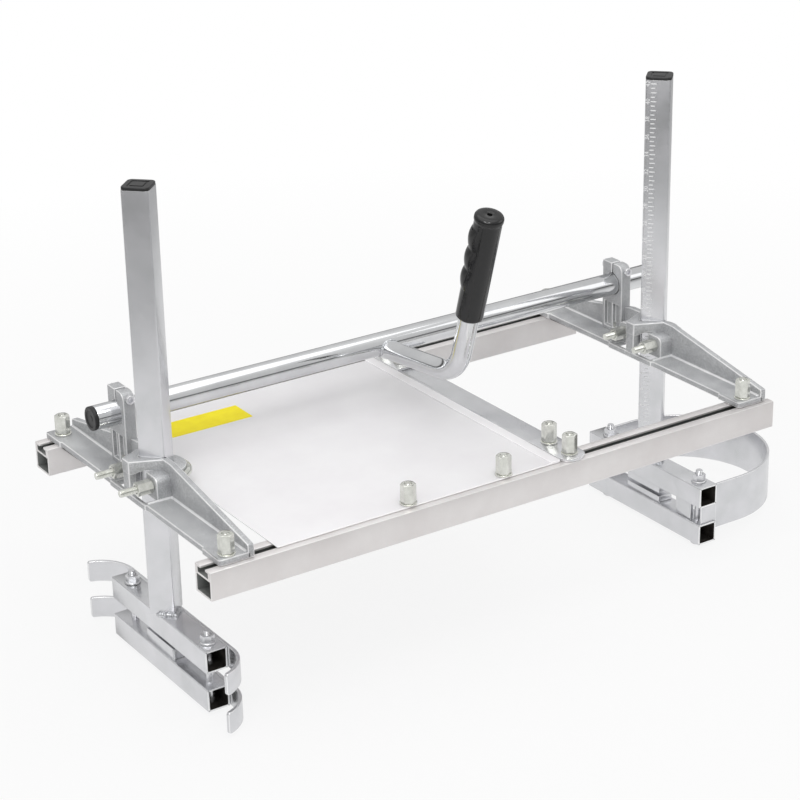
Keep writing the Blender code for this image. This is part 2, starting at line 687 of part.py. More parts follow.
def make_guard():
    """Sheet between the left bracket and the brace, with a folded hem on its right edge."""
    middle_x = (GUARD_LEFT_X + GUARD_RIGHT_X) / 2
    middle_y = (GUARD_FRONT_Y + GUARD_REAR_Y) / 2
    half_u = (GUARD_RIGHT_X - GUARD_LEFT_X) / 2
    half_v = (GUARD_REAR_Y - GUARD_FRONT_Y) / 2
    holes = [circle((STUD_DIAMETER + BORE_PLAY) / 2, 16, (nut_x - middle_x, FRONT_SLOT_Y - middle_y))
             for nut_x in GUARD_NUT_XS]
    guard = outline("guard_plate", [rectangle(half_u, half_v)] + holes, GUARD_THICKNESS, "Z",
                    at(middle_x, middle_y, SEAT + GUARD_THICKNESS / 2))
    hem_low = at(GUARD_RIGHT_X - GUARD_HEM_WIDTH, GUARD_FRONT_Y, SEAT + GUARD_THICKNESS / 2)
    hem_high = at(GUARD_RIGHT_X, GUARD_REAR_Y, SEAT + GUARD_THICKNESS + GUARD_HEM_RISE)
    join(guard, span_box("guard_hem", hem_low, hem_high))
    finish(guard, "guard_sheet")


def make_brace():
    """Channel between the rails, open below, with a small lip on its left edge."""
    front = RAIL_SIZE + GAP
    rear = RAIL_PITCH - GAP
    length = rear - front
    half = BRACE_WIDTH / 2
    inner = half - BRACE_WALL
    low = -BRACE_HEIGHT
    lip = -half + BRACE_LIP_WIDTH
    section = [(low, -half), (BRACE_LIP_RISE, -half), (BRACE_LIP_RISE, lip), (0, lip), (0, half),
               (low, half), (low, inner), (-BRACE_WALL, inner), (-BRACE_WALL, -inner), (low, -inner)]
    brace = outline("cross_brace", [section], length, "Y",
                    at(BRACE_LEFT_X + half, (front + rear) / 2, RAIL_TOP))
    for nut_y in (BRACE_NUT_Y, FRONT_SLOT_Y + REAR_SLOT_Y - BRACE_NUT_Y):
        cut(brace, rod("brace_hole", STUD_DIAMETER + BORE_PLAY, 2 * (BRACE_WALL + CUT_PAST), "Z",
                       at(BRACE_LEFT_X + half, nut_y, RAIL_TOP), sides=16))
    plate_end = BRACE_NUT_Y + JOINT_PLATE_TAIL
    for low_y, high_y in ((front - CUT_PAST, plate_end + GAP),
                          (FRONT_SLOT_Y + REAR_SLOT_Y - plate_end - GAP, rear + CUT_PAST)):
        cut(brace, span_box("lip_relief", at(BRACE_LEFT_X - CUT_PAST, low_y, RAIL_TOP),
                            at(BRACE_LEFT_X + BRACE_WIDTH + CUT_PAST, high_y,
                               RAIL_TOP + CUT_PAST)))
    finish(brace, "zinc_steel")


def make_joint_plates():
    """Flat plates that tie the brace to the rails, round where they lie on the rail."""
    half = BRACE_WIDTH / 2
    tail = BRACE_NUT_Y - FRONT_SLOT_Y + JOINT_PLATE_TAIL
    nose = arc((0.0, 0.0), min(half, FRONT_SLOT_Y - GAP), pi, 2 * pi, 12)
    hole = (STUD_DIAMETER + BORE_PLAY) / 2
    loops = [nose + [(half, 0.0), (half, tail), (-half, tail), (-half, 0.0)],
             circle(hole, 16), circle(hole, 16, (0.0, BRACE_NUT_Y - FRONT_SLOT_Y))]
    z = SEAT + JOINT_PLATE_THICKNESS / 2
    x = BRACE_LEFT_X + half
    front = outline("brace_front_plate", loops, JOINT_PLATE_THICKNESS, "Z", at(x, FRONT_SLOT_Y, z))
    finish(front, "zinc_steel")
    rear_loops = [turned(loop, pi) for loop in loops]
    rear = outline("brace_rear_plate", rear_loops, JOINT_PLATE_THICKNESS, "Z", at(x, REAR_SLOT_Y, z))
    finish(rear, "zinc_steel")


def bar_tube(name, x, low, mover):
    """Square clamp bar along Y, drilled for the two clamp bolts."""
    half = BAR_SIZE / 2
    loops = [rectangle(half, half, BAR_CORNER), rectangle(half - BAR_WALL, half - BAR_WALL)]
    bar = outline(name, loops, BAR_LENGTH, "Y", at(x, BAR_Y, low + half))
    for bolt_y in CLAMP_BOLT_YS:
        cut(bar, rod("bolt_hole", CLAMP_BOLT_DIAMETER + BORE_PLAY, 2 * BAR_SIZE, "Z",
                     at(x, bolt_y, low + half), sides=16))
    finish(bar, "zinc_steel", mover)


def strap_outline():
    """Plan of a skid strap: straight past the bar's ends, then both ends curled back to the log."""
    half = BAR_LENGTH / 2 + STRAP_RUN_OUT
    inner = STRAP_BEND_RADIUS - STRAP_THICKNESS
    centre = (-STRAP_BEND_RADIUS, half)
    outer_arc = arc(centre, STRAP_BEND_RADIUS, 0.0, STRAP_BEND_ANGLE, 10)
    inner_arc = arc(centre, inner, STRAP_BEND_ANGLE, 0.0, 10)
    rear = outer_arc + inner_arc
    front = [(u, -v) for u, v in reversed(rear)]
    return rear + front


def make_pads(side, x, lower_top, gap, slit, upper_pad):
    """Flat jaw pads under the post, on the two bars, with the guide bar's slit between them."""
    half_w, half_l = PAD_WIDTH / 2, PAD_LENGTH / 2
    upper_top = lower_top + gap
    upper_low = upper_top - upper_pad
    lower = span_box(side + "_lower_pad", at(x - half_w, POST_Y - half_l, lower_top + GAP),
                     at(x + half_w, POST_Y + half_l, upper_low - slit))
    finish(lower, "zinc_steel", movers[side + "_clamp"])
    upper = span_box(side + "_upper_pad", at(x - half_w, POST_Y - half_l, upper_low),
                     at(x + half_w, POST_Y + half_l, upper_top - GAP))
    finish(upper, "zinc_steel", movers[side + "_post"])
    return upper


def make_stop(pad, x, lower_top, upper_top):
    """Upright stop plate by the front bolt, tied to the pad by a thin strip under the bar."""
    outer = x - PAD_WIDTH / 2
    inner = outer + PAD_STOP_THICKNESS
    stop_y = POST_Y + PAD_STOP_OFFSET_Y
    high = upper_top - GAP
    join(pad, span_box("pad_tie", at(outer, stop_y, high - PAD_TIE_THICKNESS),
                       at(inner, POST_Y, high)))
    join(pad, span_box("pad_stop", at(outer, stop_y - PAD_STOP_LENGTH / 2, lower_top + 2 * GAP),
                       at(inner, stop_y + PAD_STOP_LENGTH / 2, high)))


def make_clamp_bolts(side, x, lower_low, upper_top):
    head_top = lower_low - GAP
    tip = upper_top + GAP + CLAMP_NUT_FLANGE_THICKNESS + CLAMP_NUT_HEIGHT + CLAMP_BOLT_TIP
    for word, y in zip(("front", "rear"), CLAMP_BOLT_YS):
        shank_low = head_top - CLAMP_HEAD_HEIGHT / 2
        bolt = rod(f"{side}_{word}_clamp_bolt", CLAMP_BOLT_DIAMETER, tip - shank_low, "Z",
                   at(x, y, (tip + shank_low) / 2), sides=16)
        join(bolt, hexagon("bolt_head", CLAMP_HEAD_FLATS, CLAMP_HEAD_HEIGHT, "Z",
                           at(x, y, head_top - CLAMP_HEAD_HEIGHT / 2)))
        finish(bolt, "zinc_fastener", movers[side + "_clamp"])
        base = upper_top + GAP
        nut = rod(f"{side}_{word}_clamp_nut", CLAMP_NUT_FLANGE_DIAMETER, CLAMP_NUT_FLANGE_THICKNESS,
                  "Z", at(x, y, base + CLAMP_NUT_FLANGE_THICKNESS / 2))
        top = base + CLAMP_NUT_FLANGE_THICKNESS + CLAMP_NUT_HEIGHT
        height = CLAMP_NUT_HEIGHT + CLAMP_NUT_FLANGE_THICKNESS / 2
        join(nut, hexagon("nut_hex", CLAMP_HEAD_FLATS, height, "Z", at(x, y, top - height / 2)))
        cut(nut, rod("nut_bore", CLAMP_BOLT_DIAMETER + BORE_PLAY, 2 * (top - base + CUT_PAST), "Z",
                     at(x, y, base), sides=16))
        finish(nut, "zinc_fastener", movers[side + "_post"])


def make_clamp(side, bracket_x, gap, slit, upper_pad):
    x = bracket_x + POST_X
    lower_low = CLAMP_HEAD_HEIGHT + GAP
    lower_top = lower_low + BAR_SIZE
    upper_low = lower_top + gap
    bar_tube(side + "_lower_bar", x, lower_low, movers[side + "_clamp"])
    bar_tube(side + "_upper_bar", x, upper_low, movers[side + "_post"])
    pad = make_pads(side, x, lower_top, gap, slit, upper_pad)
    if side == "right":
        make_stop(pad, x, lower_top, upper_low)
    make_clamp_bolts(side, x, lower_low, upper_low + BAR_SIZE)


def make_skid_straps():
    x = BRACKET_LEFT_X + POST_X + BAR_SIZE / 2 + GAP + STRAP_THICKNESS
    lower_low = CLAMP_HEAD_HEIGHT + GAP
    upper_low = lower_low + BAR_SIZE + LEFT_BAR_GAP
    for name, low, mover in (("lower_skid_strap", lower_low, movers["left_clamp"]),
                             ("upper_skid_strap", upper_low, movers["left_post"])):
        strap = outline(name, [strap_outline()], STRAP_HEIGHT, "Z", at(x, BAR_Y, low + BAR_SIZE / 2))
        finish(strap, "zinc_steel", mover)


def make_nose_guard():
    """Strip that runs round the nose of the guide bar, welded to the right upper bar."""
    x = BRACKET_RIGHT_X + POST_X + BAR_SIZE / 2 + GAP
    inner = NOSE_RADIUS - NOSE_THICKNESS
    points = [(0.0, -NOSE_RADIUS)]
    points += arc((NOSE_STRAIGHT, 0.0), NOSE_RADIUS, -pi / 2, pi / 2, 32)
    points += [(0.0, NOSE_RADIUS), (0.0, inner)]
    points += arc((NOSE_STRAIGHT, 0.0), inner, pi / 2, -pi / 2, 32)
    points += [(0.0, -inner)]
    top = RAIL_BOTTOM - RIGHT_DROP - NOSE_DROP
    guard = outline("nose_guard", [points], NOSE_HEIGHT, "Z", at(x, BAR_Y, top - NOSE_HEIGHT / 2))
    finish(guard, "zinc_steel", movers["right_post"])


def make_pipe():
    mover = movers["handle"]
    loops = [circle(PIPE_DIAMETER / 2, 32), circle(PIPE_DIAMETER / 2 - PIPE_WALL, 24)]
    pipe = outline("handle_pipe", loops, PIPE_LENGTH, "X",
                   at(PIPE_LEFT_X + PIPE_LENGTH / 2, PIPE_Y, PIPE_Z))
    finish(pipe, "chrome_tube", mover)
    ends = (("left_pipe_plug", PIPE_LEFT_X, -1), ("right_pipe_plug", PIPE_LEFT_X + PIPE_LENGTH, 1))
    for name, end_x, side in ends:
        plug = rod(name, PIPE_DIAMETER, PLUG_RIM, "X",
                   at(end_x + side * (GAP + PLUG_RIM / 2), PIPE_Y, PIPE_Z))
        insert = PLUG_LENGTH + SINK
        join(plug, rod("plug_insert", PIPE_DIAMETER - 2 * PIPE_WALL - 2 * GAP, insert, "X",
                       at(end_x + side * (GAP + SINK - insert / 2), PIPE_Y, PIPE_Z)))
        finish(plug, "black_plastic", mover)


def branch_path(tail):
    """Centre line of the branch, from its end below the pipe, as Y and Z from the pipe's axis."""
    bend = BRANCH_BEND_RADIUS
    rise = BRANCH_RISE
    turn = pi / 2 - BRANCH_LEAN - rise
    points = [(0.0, -along * cos(rise), along * sin(rise) - BRANCH_DROP)
              for along in (-tail, BRANCH_REACH)]
    _, flat_y, flat_z = points[-1]
    steps = 10
    for i in range(1, steps + 1):
        angle = rise + turn * i / steps
        points.append((0.0, flat_y - bend * (sin(angle) - sin(rise)),
                       flat_z + bend * (cos(rise) - cos(angle))))
    return points


def grip_base():
    """Place and direction of the grip's lower end, from the pipe's axis."""
    end = Vector(branch_path(BRANCH_TAIL)[-1])
    direction = Vector((0.0, -sin(BRANCH_LEAN), cos(BRANCH_LEAN)))
    return end + direction * BRANCH_NECK, direction


def make_branch():
    mover = movers["handle"]
    axis = at(BRANCH_X, PIPE_Y, PIPE_Z)
    base, direction = grip_base()
    tip = base + direction * GRIP_INSERT
    branch = wire("handle_branch", branch_path(BRANCH_TAIL) + [tuple(tip)], BRANCH_DIAMETER, axis,
                  roundness=4)
    bore_path = branch_path(BRANCH_TAIL + CUT_PAST) + [tuple(tip + direction * CUT_PAST)]
    cut(branch, wire("branch_bore", bore_path, BRANCH_DIAMETER - 2 * BRANCH_WALL, axis, roundness=4))
    cut(branch, rod("pipe_seat", PIPE_DIAMETER + 2 * GAP, 2 * BRANCH_DIAMETER, "X", axis, sides=32))
    finish(branch, "chrome_tube", mover)


def make_grip():
    """Hand grip with finger ridges on its rear side."""
    base, direction = grip_base()
    turn = Matrix.Rotation(BRANCH_LEAN, 4, "X")
    origin = at(BRANCH_X, PIPE_Y, PIPE_Z) + base
    grip = rod("handle_grip", GRIP_DIAMETER, GRIP_LENGTH, "Z", origin + direction * GRIP_LENGTH / 2,
               sides=32)
    grip.data.transform(turn)
    ridge_offset = GRIP_DIAMETER / 2 + GRIP_RIDGE - GRIP_RIDGE_RADIUS
    ridge_length = GRIP_GROOVES * GRIP_GROOVE_PITCH + GRIP_RIDGE_RUNOUT
    rear = turn @ Vector((0.0, 1.0, 0.0))
    middle = origin + direction * (GRIP_LENGTH / 2 + GRIP_RIDGE_SHIFT)
    ridge = rod("grip_ridge", 2 * GRIP_RIDGE_RADIUS, ridge_length, "Z", middle + rear * ridge_offset)
    ridge.data.transform(turn)
    join(grip, ridge)
    groove_offset = GRIP_DIAMETER / 2 + GRIP_GROOVE_FLOOR + GRIP_GROOVE_RADIUS
    for i in range(GRIP_GROOVES):
        along = (i - (GRIP_GROOVES - 1) / 2) * GRIP_GROOVE_PITCH
        groove = rod(f"grip_groove_{i}", 2 * GRIP_GROOVE_RADIUS, 2 * GRIP_DIAMETER, "X",
                     middle + direction * along + rear * groove_offset)
        cut(grip, groove)
    depth = GRIP_INSERT + GAP
    bore = rod("grip_bore", BRANCH_DIAMETER + 2 * GAP, depth + CUT_PAST, "Z",
               origin + direction * (depth - CUT_PAST) / 2)
    bore.data.transform(turn)
    vent = rod("grip_hole", GRIP_HOLE_DIAMETER, 2 * (GRIP_END_WALL + CUT_PAST), "Z",
               origin + direction * GRIP_LENGTH, sides=12)
    vent.data.transform(turn)
    cut(grip, bore, vent)
    finish(grip, "grip_plastic", movers["handle"])


def make_blocks():
    """Split blocks on the brackets that clamp the pipe, hollowed below by two pockets."""
    top = PIPE_Z + BLOCK_ABOVE_PIPE
    low = FLANGE_TOP + GAP
    half = BLOCK_WIDTH / 2
    bore = PIPE_DIAMETER / 2 + GAP
    corner = arc((-half + BLOCK_CORNER, top - PIPE_Z - BLOCK_CORNER), BLOCK_CORNER, pi / 2, pi, 6)
    split = BLOCK_SPLIT / 2
    mouth = sqrt(bore * bore - split * split)
    lean = asin(split / bore)
    around = arc((0.0, 0.0), bore, pi / 2 + lean, 5 * pi / 2 - lean, 24)
    points = [(-half, low - PIPE_Z), (half, low - PIPE_Z), (half, top - PIPE_Z), (split, top - PIPE_Z),
              (split, mouth)]
    points += list(reversed(around))[1:-1]
    points += [(-split, mouth), (-split, top - PIPE_Z)] + corner
    x = BRACKET_LEFT_X + BLOCK_X
    block = outline("left_pipe_block", [points], BLOCK_THICKNESS, "X",
                    at(x + BLOCK_THICKNESS / 2, PIPE_Y, PIPE_Z))
    pocket_low = low + BLOCK_POCKET_RIM
    for side in (-1, 1):
        inner = PIPE_Y + side * BLOCK_RIB / 2
        outer = PIPE_Y + side * (half - BLOCK_POCKET_RIM)
        cut(block, span_box("block_pocket", at(x - CUT_PAST, min(inner, outer), pocket_low),
                            at(x + BLOCK_POCKET_DEPTH, max(inner, outer),
                               pocket_low + BLOCK_POCKET_HEIGHT)))
    middle_x = x + BLOCK_THICKNESS / 2
    cut(block, rod("pinch_hole", PINCH_DIAMETER + BORE_PLAY, 2 * BLOCK_WIDTH, "Y",
                   at(middle_x, PIPE_Y, PIPE_Z + PINCH_ABOVE_PIPE), sides=16))
    cut(block, rod("foot_hole", FOOT_SCREW_DIAMETER + BORE_PLAY, 2 * FOOT_SCREW_DEPTH + 2 * GAP, "Z",
                   at(BRACKET_LEFT_X + FOOT_SCREW_X, PIPE_Y, low), sides=16))
    bake(block)
    finish(block, "cast_aluminium")
    right = copy_of(block, "right_pipe_block", block.location + Vector((BRACKET_PITCH, 0.0, 0.0)))
    finish(right, "cast_aluminium", movers["right_end"])


def make_block_screws():
    x = BRACKET_LEFT_X + BLOCK_X + BLOCK_THICKNESS / 2
    z = PIPE_Z + PINCH_ABOVE_PIPE
    reach = BLOCK_WIDTH / 2 + GAP
    shank = 2 * reach + 2 * PINCH_HEAD_HEIGHT
    pinch = rod("left_pinch_screw", PINCH_DIAMETER, shank, "Y", at(x, PIPE_Y, z), sides=16)
    join(pinch, rod("pinch_head", PINCH_HEAD_DIAMETER, PINCH_HEAD_HEIGHT, "Y",
                    at(x, PIPE_Y - reach - PINCH_HEAD_HEIGHT / 2, z)))
    join(pinch, hexagon("pinch_nut", PINCH_HEAD_DIAMETER, PINCH_NUT_HEIGHT, "Y",
                        at(x, PIPE_Y + reach + PINCH_NUT_HEIGHT / 2, z)))
    bake(pinch)
    finish(pinch, "zinc_fastener")
    step = Vector((BRACKET_PITCH, 0.0, 0.0))
    finish(copy_of(pinch, "right_pinch_screw", pinch.location + step), "zinc_fastener",
           movers["right_end"])
    x = BRACKET_LEFT_X + FOOT_SCREW_X
    head_top = SEAT - GAP
    low = head_top - FOOT_HEAD_HEIGHT / 2
    high = FLANGE_TOP + GAP + FOOT_SCREW_DEPTH
    foot = rod("left_foot_screw", FOOT_SCREW_DIAMETER, high - low, "Z",
               at(x, PIPE_Y, (low + high) / 2), sides=16)
    join(foot, rod("foot_head", FOOT_HEAD_DIAMETER, FOOT_HEAD_HEIGHT, "Z",
                   at(x, PIPE_Y, head_top - FOOT_HEAD_HEIGHT / 2)))
    bake(foot)
    finish(foot, "zinc_fastener")
    finish(copy_of(foot, "right_foot_screw", foot.location + step), "zinc_fastener",
           movers["right_end"])


def make_movers():
    """Empties on the axes of the sliding and turning groups."""
    left_x, right_x = BRACKET_LEFT_X + POST_X, BRACKET_RIGHT_X + POST_X
    found = {"right_end": empty("right_end_slide", at(right_x, POST_Y, RAIL_TOP))}
    found["left_post"] = empty("left_post_slide", at(left_x, POST_Y, RAIL_TOP))
    found["left_clamp"] = empty("left_clamp_slide", at(left_x, BAR_Y, 0.0))
    found["right_post"] = empty("right_post_slide", at(right_x, POST_Y, RAIL_TOP))
    found["right_clamp"] = empty("right_clamp_slide", at(right_x, BAR_Y, 0.0))
    found["handle"] = empty("handle_hinge", at(BRANCH_X, PIPE_Y, PIPE_Z))
    return found


clear_scene()
parts, cutters = make_collections()
make_materials()
movers = make_movers()
make_rails()
make_brackets()
make_post("left", BRACKET_LEFT_X, LEFT_DROP)
make_post("right", BRACKET_RIGHT_X, RIGHT_DROP)
make_u_bolt("left", BRACKET_LEFT_X, None)
make_u_bolt("right", BRACKET_RIGHT_X, movers["right_end"])
make_fasteners()
make_guard()
make_brace()
make_joint_plates()
make_clamp("left", BRACKET_LEFT_X, LEFT_BAR_GAP, LEFT_SLIT, LEFT_UPPER_PAD)
make_clamp("right", BRACKET_RIGHT_X, RIGHT_BAR_GAP, RIGHT_SLIT, RIGHT_UPPER_PAD)
make_skid_straps()
make_nose_guard()
make_pipe()
make_branch()
make_grip()
make_blocks()
make_block_screws()
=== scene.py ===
import json
from math import atan2, cos, pi, radians, sin, sqrt, tan
import bmesh
import bpy
from mathutils import Matrix, Vector

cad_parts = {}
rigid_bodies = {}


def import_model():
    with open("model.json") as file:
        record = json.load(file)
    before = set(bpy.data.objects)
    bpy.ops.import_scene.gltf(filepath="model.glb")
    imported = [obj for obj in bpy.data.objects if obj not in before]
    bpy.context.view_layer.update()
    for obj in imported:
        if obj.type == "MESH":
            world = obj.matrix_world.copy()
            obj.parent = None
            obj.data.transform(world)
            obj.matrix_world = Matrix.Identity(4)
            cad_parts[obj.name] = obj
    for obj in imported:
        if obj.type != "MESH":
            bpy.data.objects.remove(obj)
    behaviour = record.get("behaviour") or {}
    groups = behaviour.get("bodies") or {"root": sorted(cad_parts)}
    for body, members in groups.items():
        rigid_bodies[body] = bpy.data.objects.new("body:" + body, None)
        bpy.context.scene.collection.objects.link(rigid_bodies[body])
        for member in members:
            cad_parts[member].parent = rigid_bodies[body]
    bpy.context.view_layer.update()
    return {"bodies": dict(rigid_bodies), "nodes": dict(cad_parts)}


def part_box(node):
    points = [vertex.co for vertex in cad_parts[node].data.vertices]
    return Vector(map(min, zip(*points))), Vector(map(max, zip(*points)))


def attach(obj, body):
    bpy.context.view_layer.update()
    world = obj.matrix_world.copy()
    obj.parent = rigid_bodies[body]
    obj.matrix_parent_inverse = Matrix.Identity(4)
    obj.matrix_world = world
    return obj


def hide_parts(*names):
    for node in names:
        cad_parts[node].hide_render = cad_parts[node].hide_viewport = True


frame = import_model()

bodyOf = {node: body for body, empty in frame["bodies"].items()
          for node, part in frame["nodes"].items() if part.parent == empty}
mm = 0.001
gap = 0.3 * mm          # clearance that the frame leaves between its parts
over = 5 * mm           # how far a cutter reaches past what it cuts
apart = 0.2 * mm        # keeps the faces of two joined forms from coinciding
close = 1 * mm          # a place this close to an end counts as at that end
hair = 1e-5             # tolerance, in metres, where two heights should be equal
aligned = 0.99          # cosine from which two directions count as the same
crossing = 0.3          # cosine up to which they count as crossing
# every blank carries these three slots, which finishPiece fills with finishes: its own colour, a
# lighter colour on bevels and cut ends that is a painted highlight, and a darker colour inside
# hollows that is painted shade
slotMarks = [bpy.data.materials.new(word) for word in ("faceMark", "edgeHighlightMark", "insideShadeMark")]


# small tools for modelling by operators
def sizes(**values):
    # settings written in millimetres, kept in metres
    return {key: value * mm for key, value in values.items()}


def setAll(owner, **settings):
    for key, value in settings.items():
        setattr(owner, key, value)


def boxOf(node):
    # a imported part's low and high corners and its middle
    low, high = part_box(node)
    return low, high, [(a + b) / 2 for a, b in zip(low, high)]


def nothingSelected():
    if bpy.context.mode != "OBJECT":
        bpy.ops.object.mode_set(mode="OBJECT")
    bpy.ops.object.select_all(action="DESELECT")


def onlyThis(piece):
    nothingSelected()
    piece.select_set(True)
    bpy.context.view_layer.objects.active = piece


def discard(piece):
    onlyThis(piece)
    bpy.ops.object.delete()


def applyPlace(piece):
    onlyThis(piece)
    bpy.ops.object.transform_apply(location=True, rotation=True, scale=True)


def keepPlace(name):
    # names what was just added and moves its place into its mesh
    piece = bpy.context.active_object
    piece.name = piece.data.name = name
    applyPlace(piece)
    for mark in slotMarks:
        piece.data.materials.append(mark)
    return piece


def addBox(name, low, high, turn=0.0):
    low, high = Vector(low), Vector(high)
    nothingSelected()
    bpy.ops.mesh.primitive_cube_add(size=1.0, location=(low + high) / 2, rotation=(0, 0, turn),
                                    scale=high - low)
    return keepPlace(name)


def addRod(name, diameter, length, centre, axis="Z", sides=48, swing=0.0):
    # swing turns a rod that lies along X about Z
    nothingSelected()
    turn = {"X": (0, pi / 2, swing), "Y": (pi / 2, 0, 0), "Z": (0, 0, 0)}[axis]
    bpy.ops.mesh.primitive_cylinder_add(vertices=sides, radius=diameter / 2, depth=length,
                                        location=centre, rotation=turn)
    return keepPlace(name)


def addDisc(name, diameter, sides, centre, turn):
    nothingSelected()
    bpy.ops.mesh.primitive_circle_add(vertices=sides, radius=diameter / 2, fill_type="NGON",
                                      location=centre, rotation=turn)
    return keepPlace(name)


def editWhere(piece, kind="FACE", test=lambda item: True):
    # opens edit mode with only what passes the test selected
    onlyThis(piece)
    bpy.ops.object.mode_set(mode="EDIT")
    bpy.ops.mesh.select_mode(type=kind)
    bpy.ops.mesh.select_all(action="DESELECT")
    shape = bmesh.from_edit_mesh(piece.data)
    for item in {"VERT": shape.verts, "EDGE": shape.edges, "FACE": shape.faces}[kind]:
        if test(item):
            item.select_set(True)
    shape.select_flush_mode()
    bmesh.update_edit_mesh(piece.data)


def editDone():
    bpy.ops.object.mode_set(mode="OBJECT")


def facing(axis, sign=1):
    index = "XYZ".index(axis)
    return lambda face: face.normal[index] * sign > aligned


def facingAlong(axis):
    # either way along this axis
    index = "XYZ".index(axis)
    return lambda face: abs(face.normal[index]) > aligned


def middleOf(edge):
    return (edge.verts[0].co + edge.verts[1].co) / 2


def runsAlong(edge, axis):
    run = (edge.verts[1].co - edge.verts[0].co).normalized()
    return abs(run["XYZ".index(axis)]) > aligned


def extrudeBy(step):
    bpy.ops.mesh.extrude_region_move(TRANSFORM_OT_translate={"value": step})


def bevelEdges(width, steps, profile=0.5):
    bpy.ops.mesh.bevel(offset=width, segments=steps, profile=profile, affect="EDGES")
    editDone()


def roundCorners(piece, axis, radius, steps=5, where=lambda place: True, profile=0.5):
    editWhere(piece, "EDGE", lambda edge: runsAlong(edge, axis) and where(middleOf(edge)))
    bevelEdges(radius, steps, profile)


def resizeAcross(axis, share, centre):
    # scales what is selected towards a line along this axis
    value = [share] * 3
    value["XYZ".index(axis)] = 1
    bpy.ops.transform.resize(value=value, center_override=centre)
    editDone()


def cutOff(piece, place, away):
    editWhere(piece)
    bpy.ops.mesh.bisect(plane_co=place, plane_no=away, use_fill=True, clear_outer=True)
    editDone()


def standOnEdge(piece, x, y):
    # posts and caps are turned 45 degrees about their own axis, then moved out
    editWhere(piece)
    bpy.ops.transform.rotate(value=pi / 4, orient_axis="Z", center_override=(0, 0, 0))
    bpy.ops.transform.translate(value=(x, y, 0))
    editDone()


def openEnds(piece, axis, wall):
    # turns a solid bar into a tube: inset both ends, then bridge the two insets
    editWhere(piece, "FACE", facingAlong(axis))
    bpy.ops.mesh.inset(thickness=wall, depth=0.0)
    bpy.ops.mesh.bridge_edge_loops()
    editDone()


def applyTool(piece, kind, **settings):
    onlyThis(piece)
    modifier = piece.modifiers.new(kind.lower(), kind)
    setAll(modifier, **settings)
    bpy.ops.object.modifier_apply(modifier=modifier.name)


def carve(piece, *cutters, operation="DIFFERENCE"):
    for cutter in cutters:
        applyTool(piece, "BOOLEAN", object=cutter, operation=operation, solver="EXACT")
        discard(cutter)


def softenEdges(piece, width, steps=2, angle=32):
    # its bevel faces go to slot 1, whose lighter colour is a painted edge highlight
    applyTool(piece, "BEVEL", width=width, segments=steps, limit_method="ANGLE",
              angle_limit=radians(angle), use_clamp_overlap=False, material=1)
    return piece


def markFaces(piece, slot, test=lambda face: True):
    for face in piece.data.polygons:
        if test(face):
            face.material_index = slot


def markHollow(piece, axis, middle, reach):
    # walls that face the hollow along this axis get painted shade, and the cut ends a painted
    # highlight
    index = "XYZ".index(axis)

    def facesHollow(face):
        away = face.center - Vector(middle)
        away[index] = 0
        return (away.length < reach and face.normal.dot(away) < 0
                and abs(face.normal[index]) < crossing)

    markFaces(piece, 2, facesHollow)
    markFaces(piece, 1, facingAlong(axis))


def joinAll(first, *others):
    nothingSelected()
    for piece in (first, *others):
        piece.select_set(True)
    bpy.context.view_layer.objects.active = first
    bpy.ops.object.join()
    return first


def copyOf(piece, name, step=(0, 0, 0)):
    onlyThis(piece)
    bpy.ops.object.duplicate(linked=False)
    twin = bpy.context.active_object
    twin.name = twin.data.name = name
    twin.location = step
    applyPlace(twin)
    return twin


def finishPiece(piece, finish, node, smooth=35, stands=True):
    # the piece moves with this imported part, and stands for it unless told otherwise
    editWhere(piece)
    bpy.ops.mesh.remove_doubles(threshold=1e-6)
    bpy.ops.mesh.normals_make_consistent(inside=False)
    editDone()
    bpy.ops.object.shade_smooth_by_angle(angle=radians(smooth))
    # slot 1 takes the finish's lighter edge colour, a painted highlight; slot 2 takes its darker
    # inside colour, or else the tubes' dark colour, as painted shade
    for index, (wanted, spare) in enumerate(((finish, finish), (finish + "Edge", finish),
                                             (finish + "Inside", "paintedTubeShade"))):
        piece.data.materials[index] = finishes.get(wanted, finishes[spare])
    bpy.ops.object.material_slot_remove_unused()
    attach(piece, bodyOf[node])
    if stands:
        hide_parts(node)


def finishBothEnds(left, name, node, finish, smooth=35):
    # the right bracket carries the same pieces as the left one
    right = copyOf(left, "right" + name, rightStep)
    finishPiece(left, finish, "left_" + node, smooth)
    finishPiece(right, finish, "right_" + node, smooth)


# camera, at the photograph's viewing angle
cameraView = {"place": (-1.30804, -1.88607, 1.18189), "lens": 103.146, "sensor": 36.0,
              "azimuth": -33.153, "elevation": 22.765, "roll": -1.226}


def makeCamera():
    camera = bpy.data.objects.new("camera", bpy.data.cameras.new("camera"))
    bpy.context.scene.collection.objects.link(camera)
    setAll(camera.data, sensor_width=cameraView["sensor"], lens=cameraView["lens"], clip_end=60)
    camera.matrix_world = Matrix.Translation(cameraView["place"])
    for angle, axis in ((cameraView["azimuth"], "Z"), (90 - cameraView["elevation"], "X"),
                        (cameraView["roll"], "Z")):
        camera.matrix_world = camera.matrix_world @ Matrix.Rotation(radians(angle), 4, axis)
    bpy.context.scene.camera = camera


# finishes
def linear(hexColour):
    # sRGB hex to the linear values that Blender's sockets take
    values = [int(hexColour[i:i + 2], 16) / 255 for i in (0, 2, 4)]
    return [v / 12.92 if v <= 0.04045 else ((v + 0.055) / 1.055) ** 2.4 for v in values] + [1.0]


def emptyTree(owner):
    owner.use_nodes = True
    owner.node_tree.nodes.clear()
    return owner.node_tree


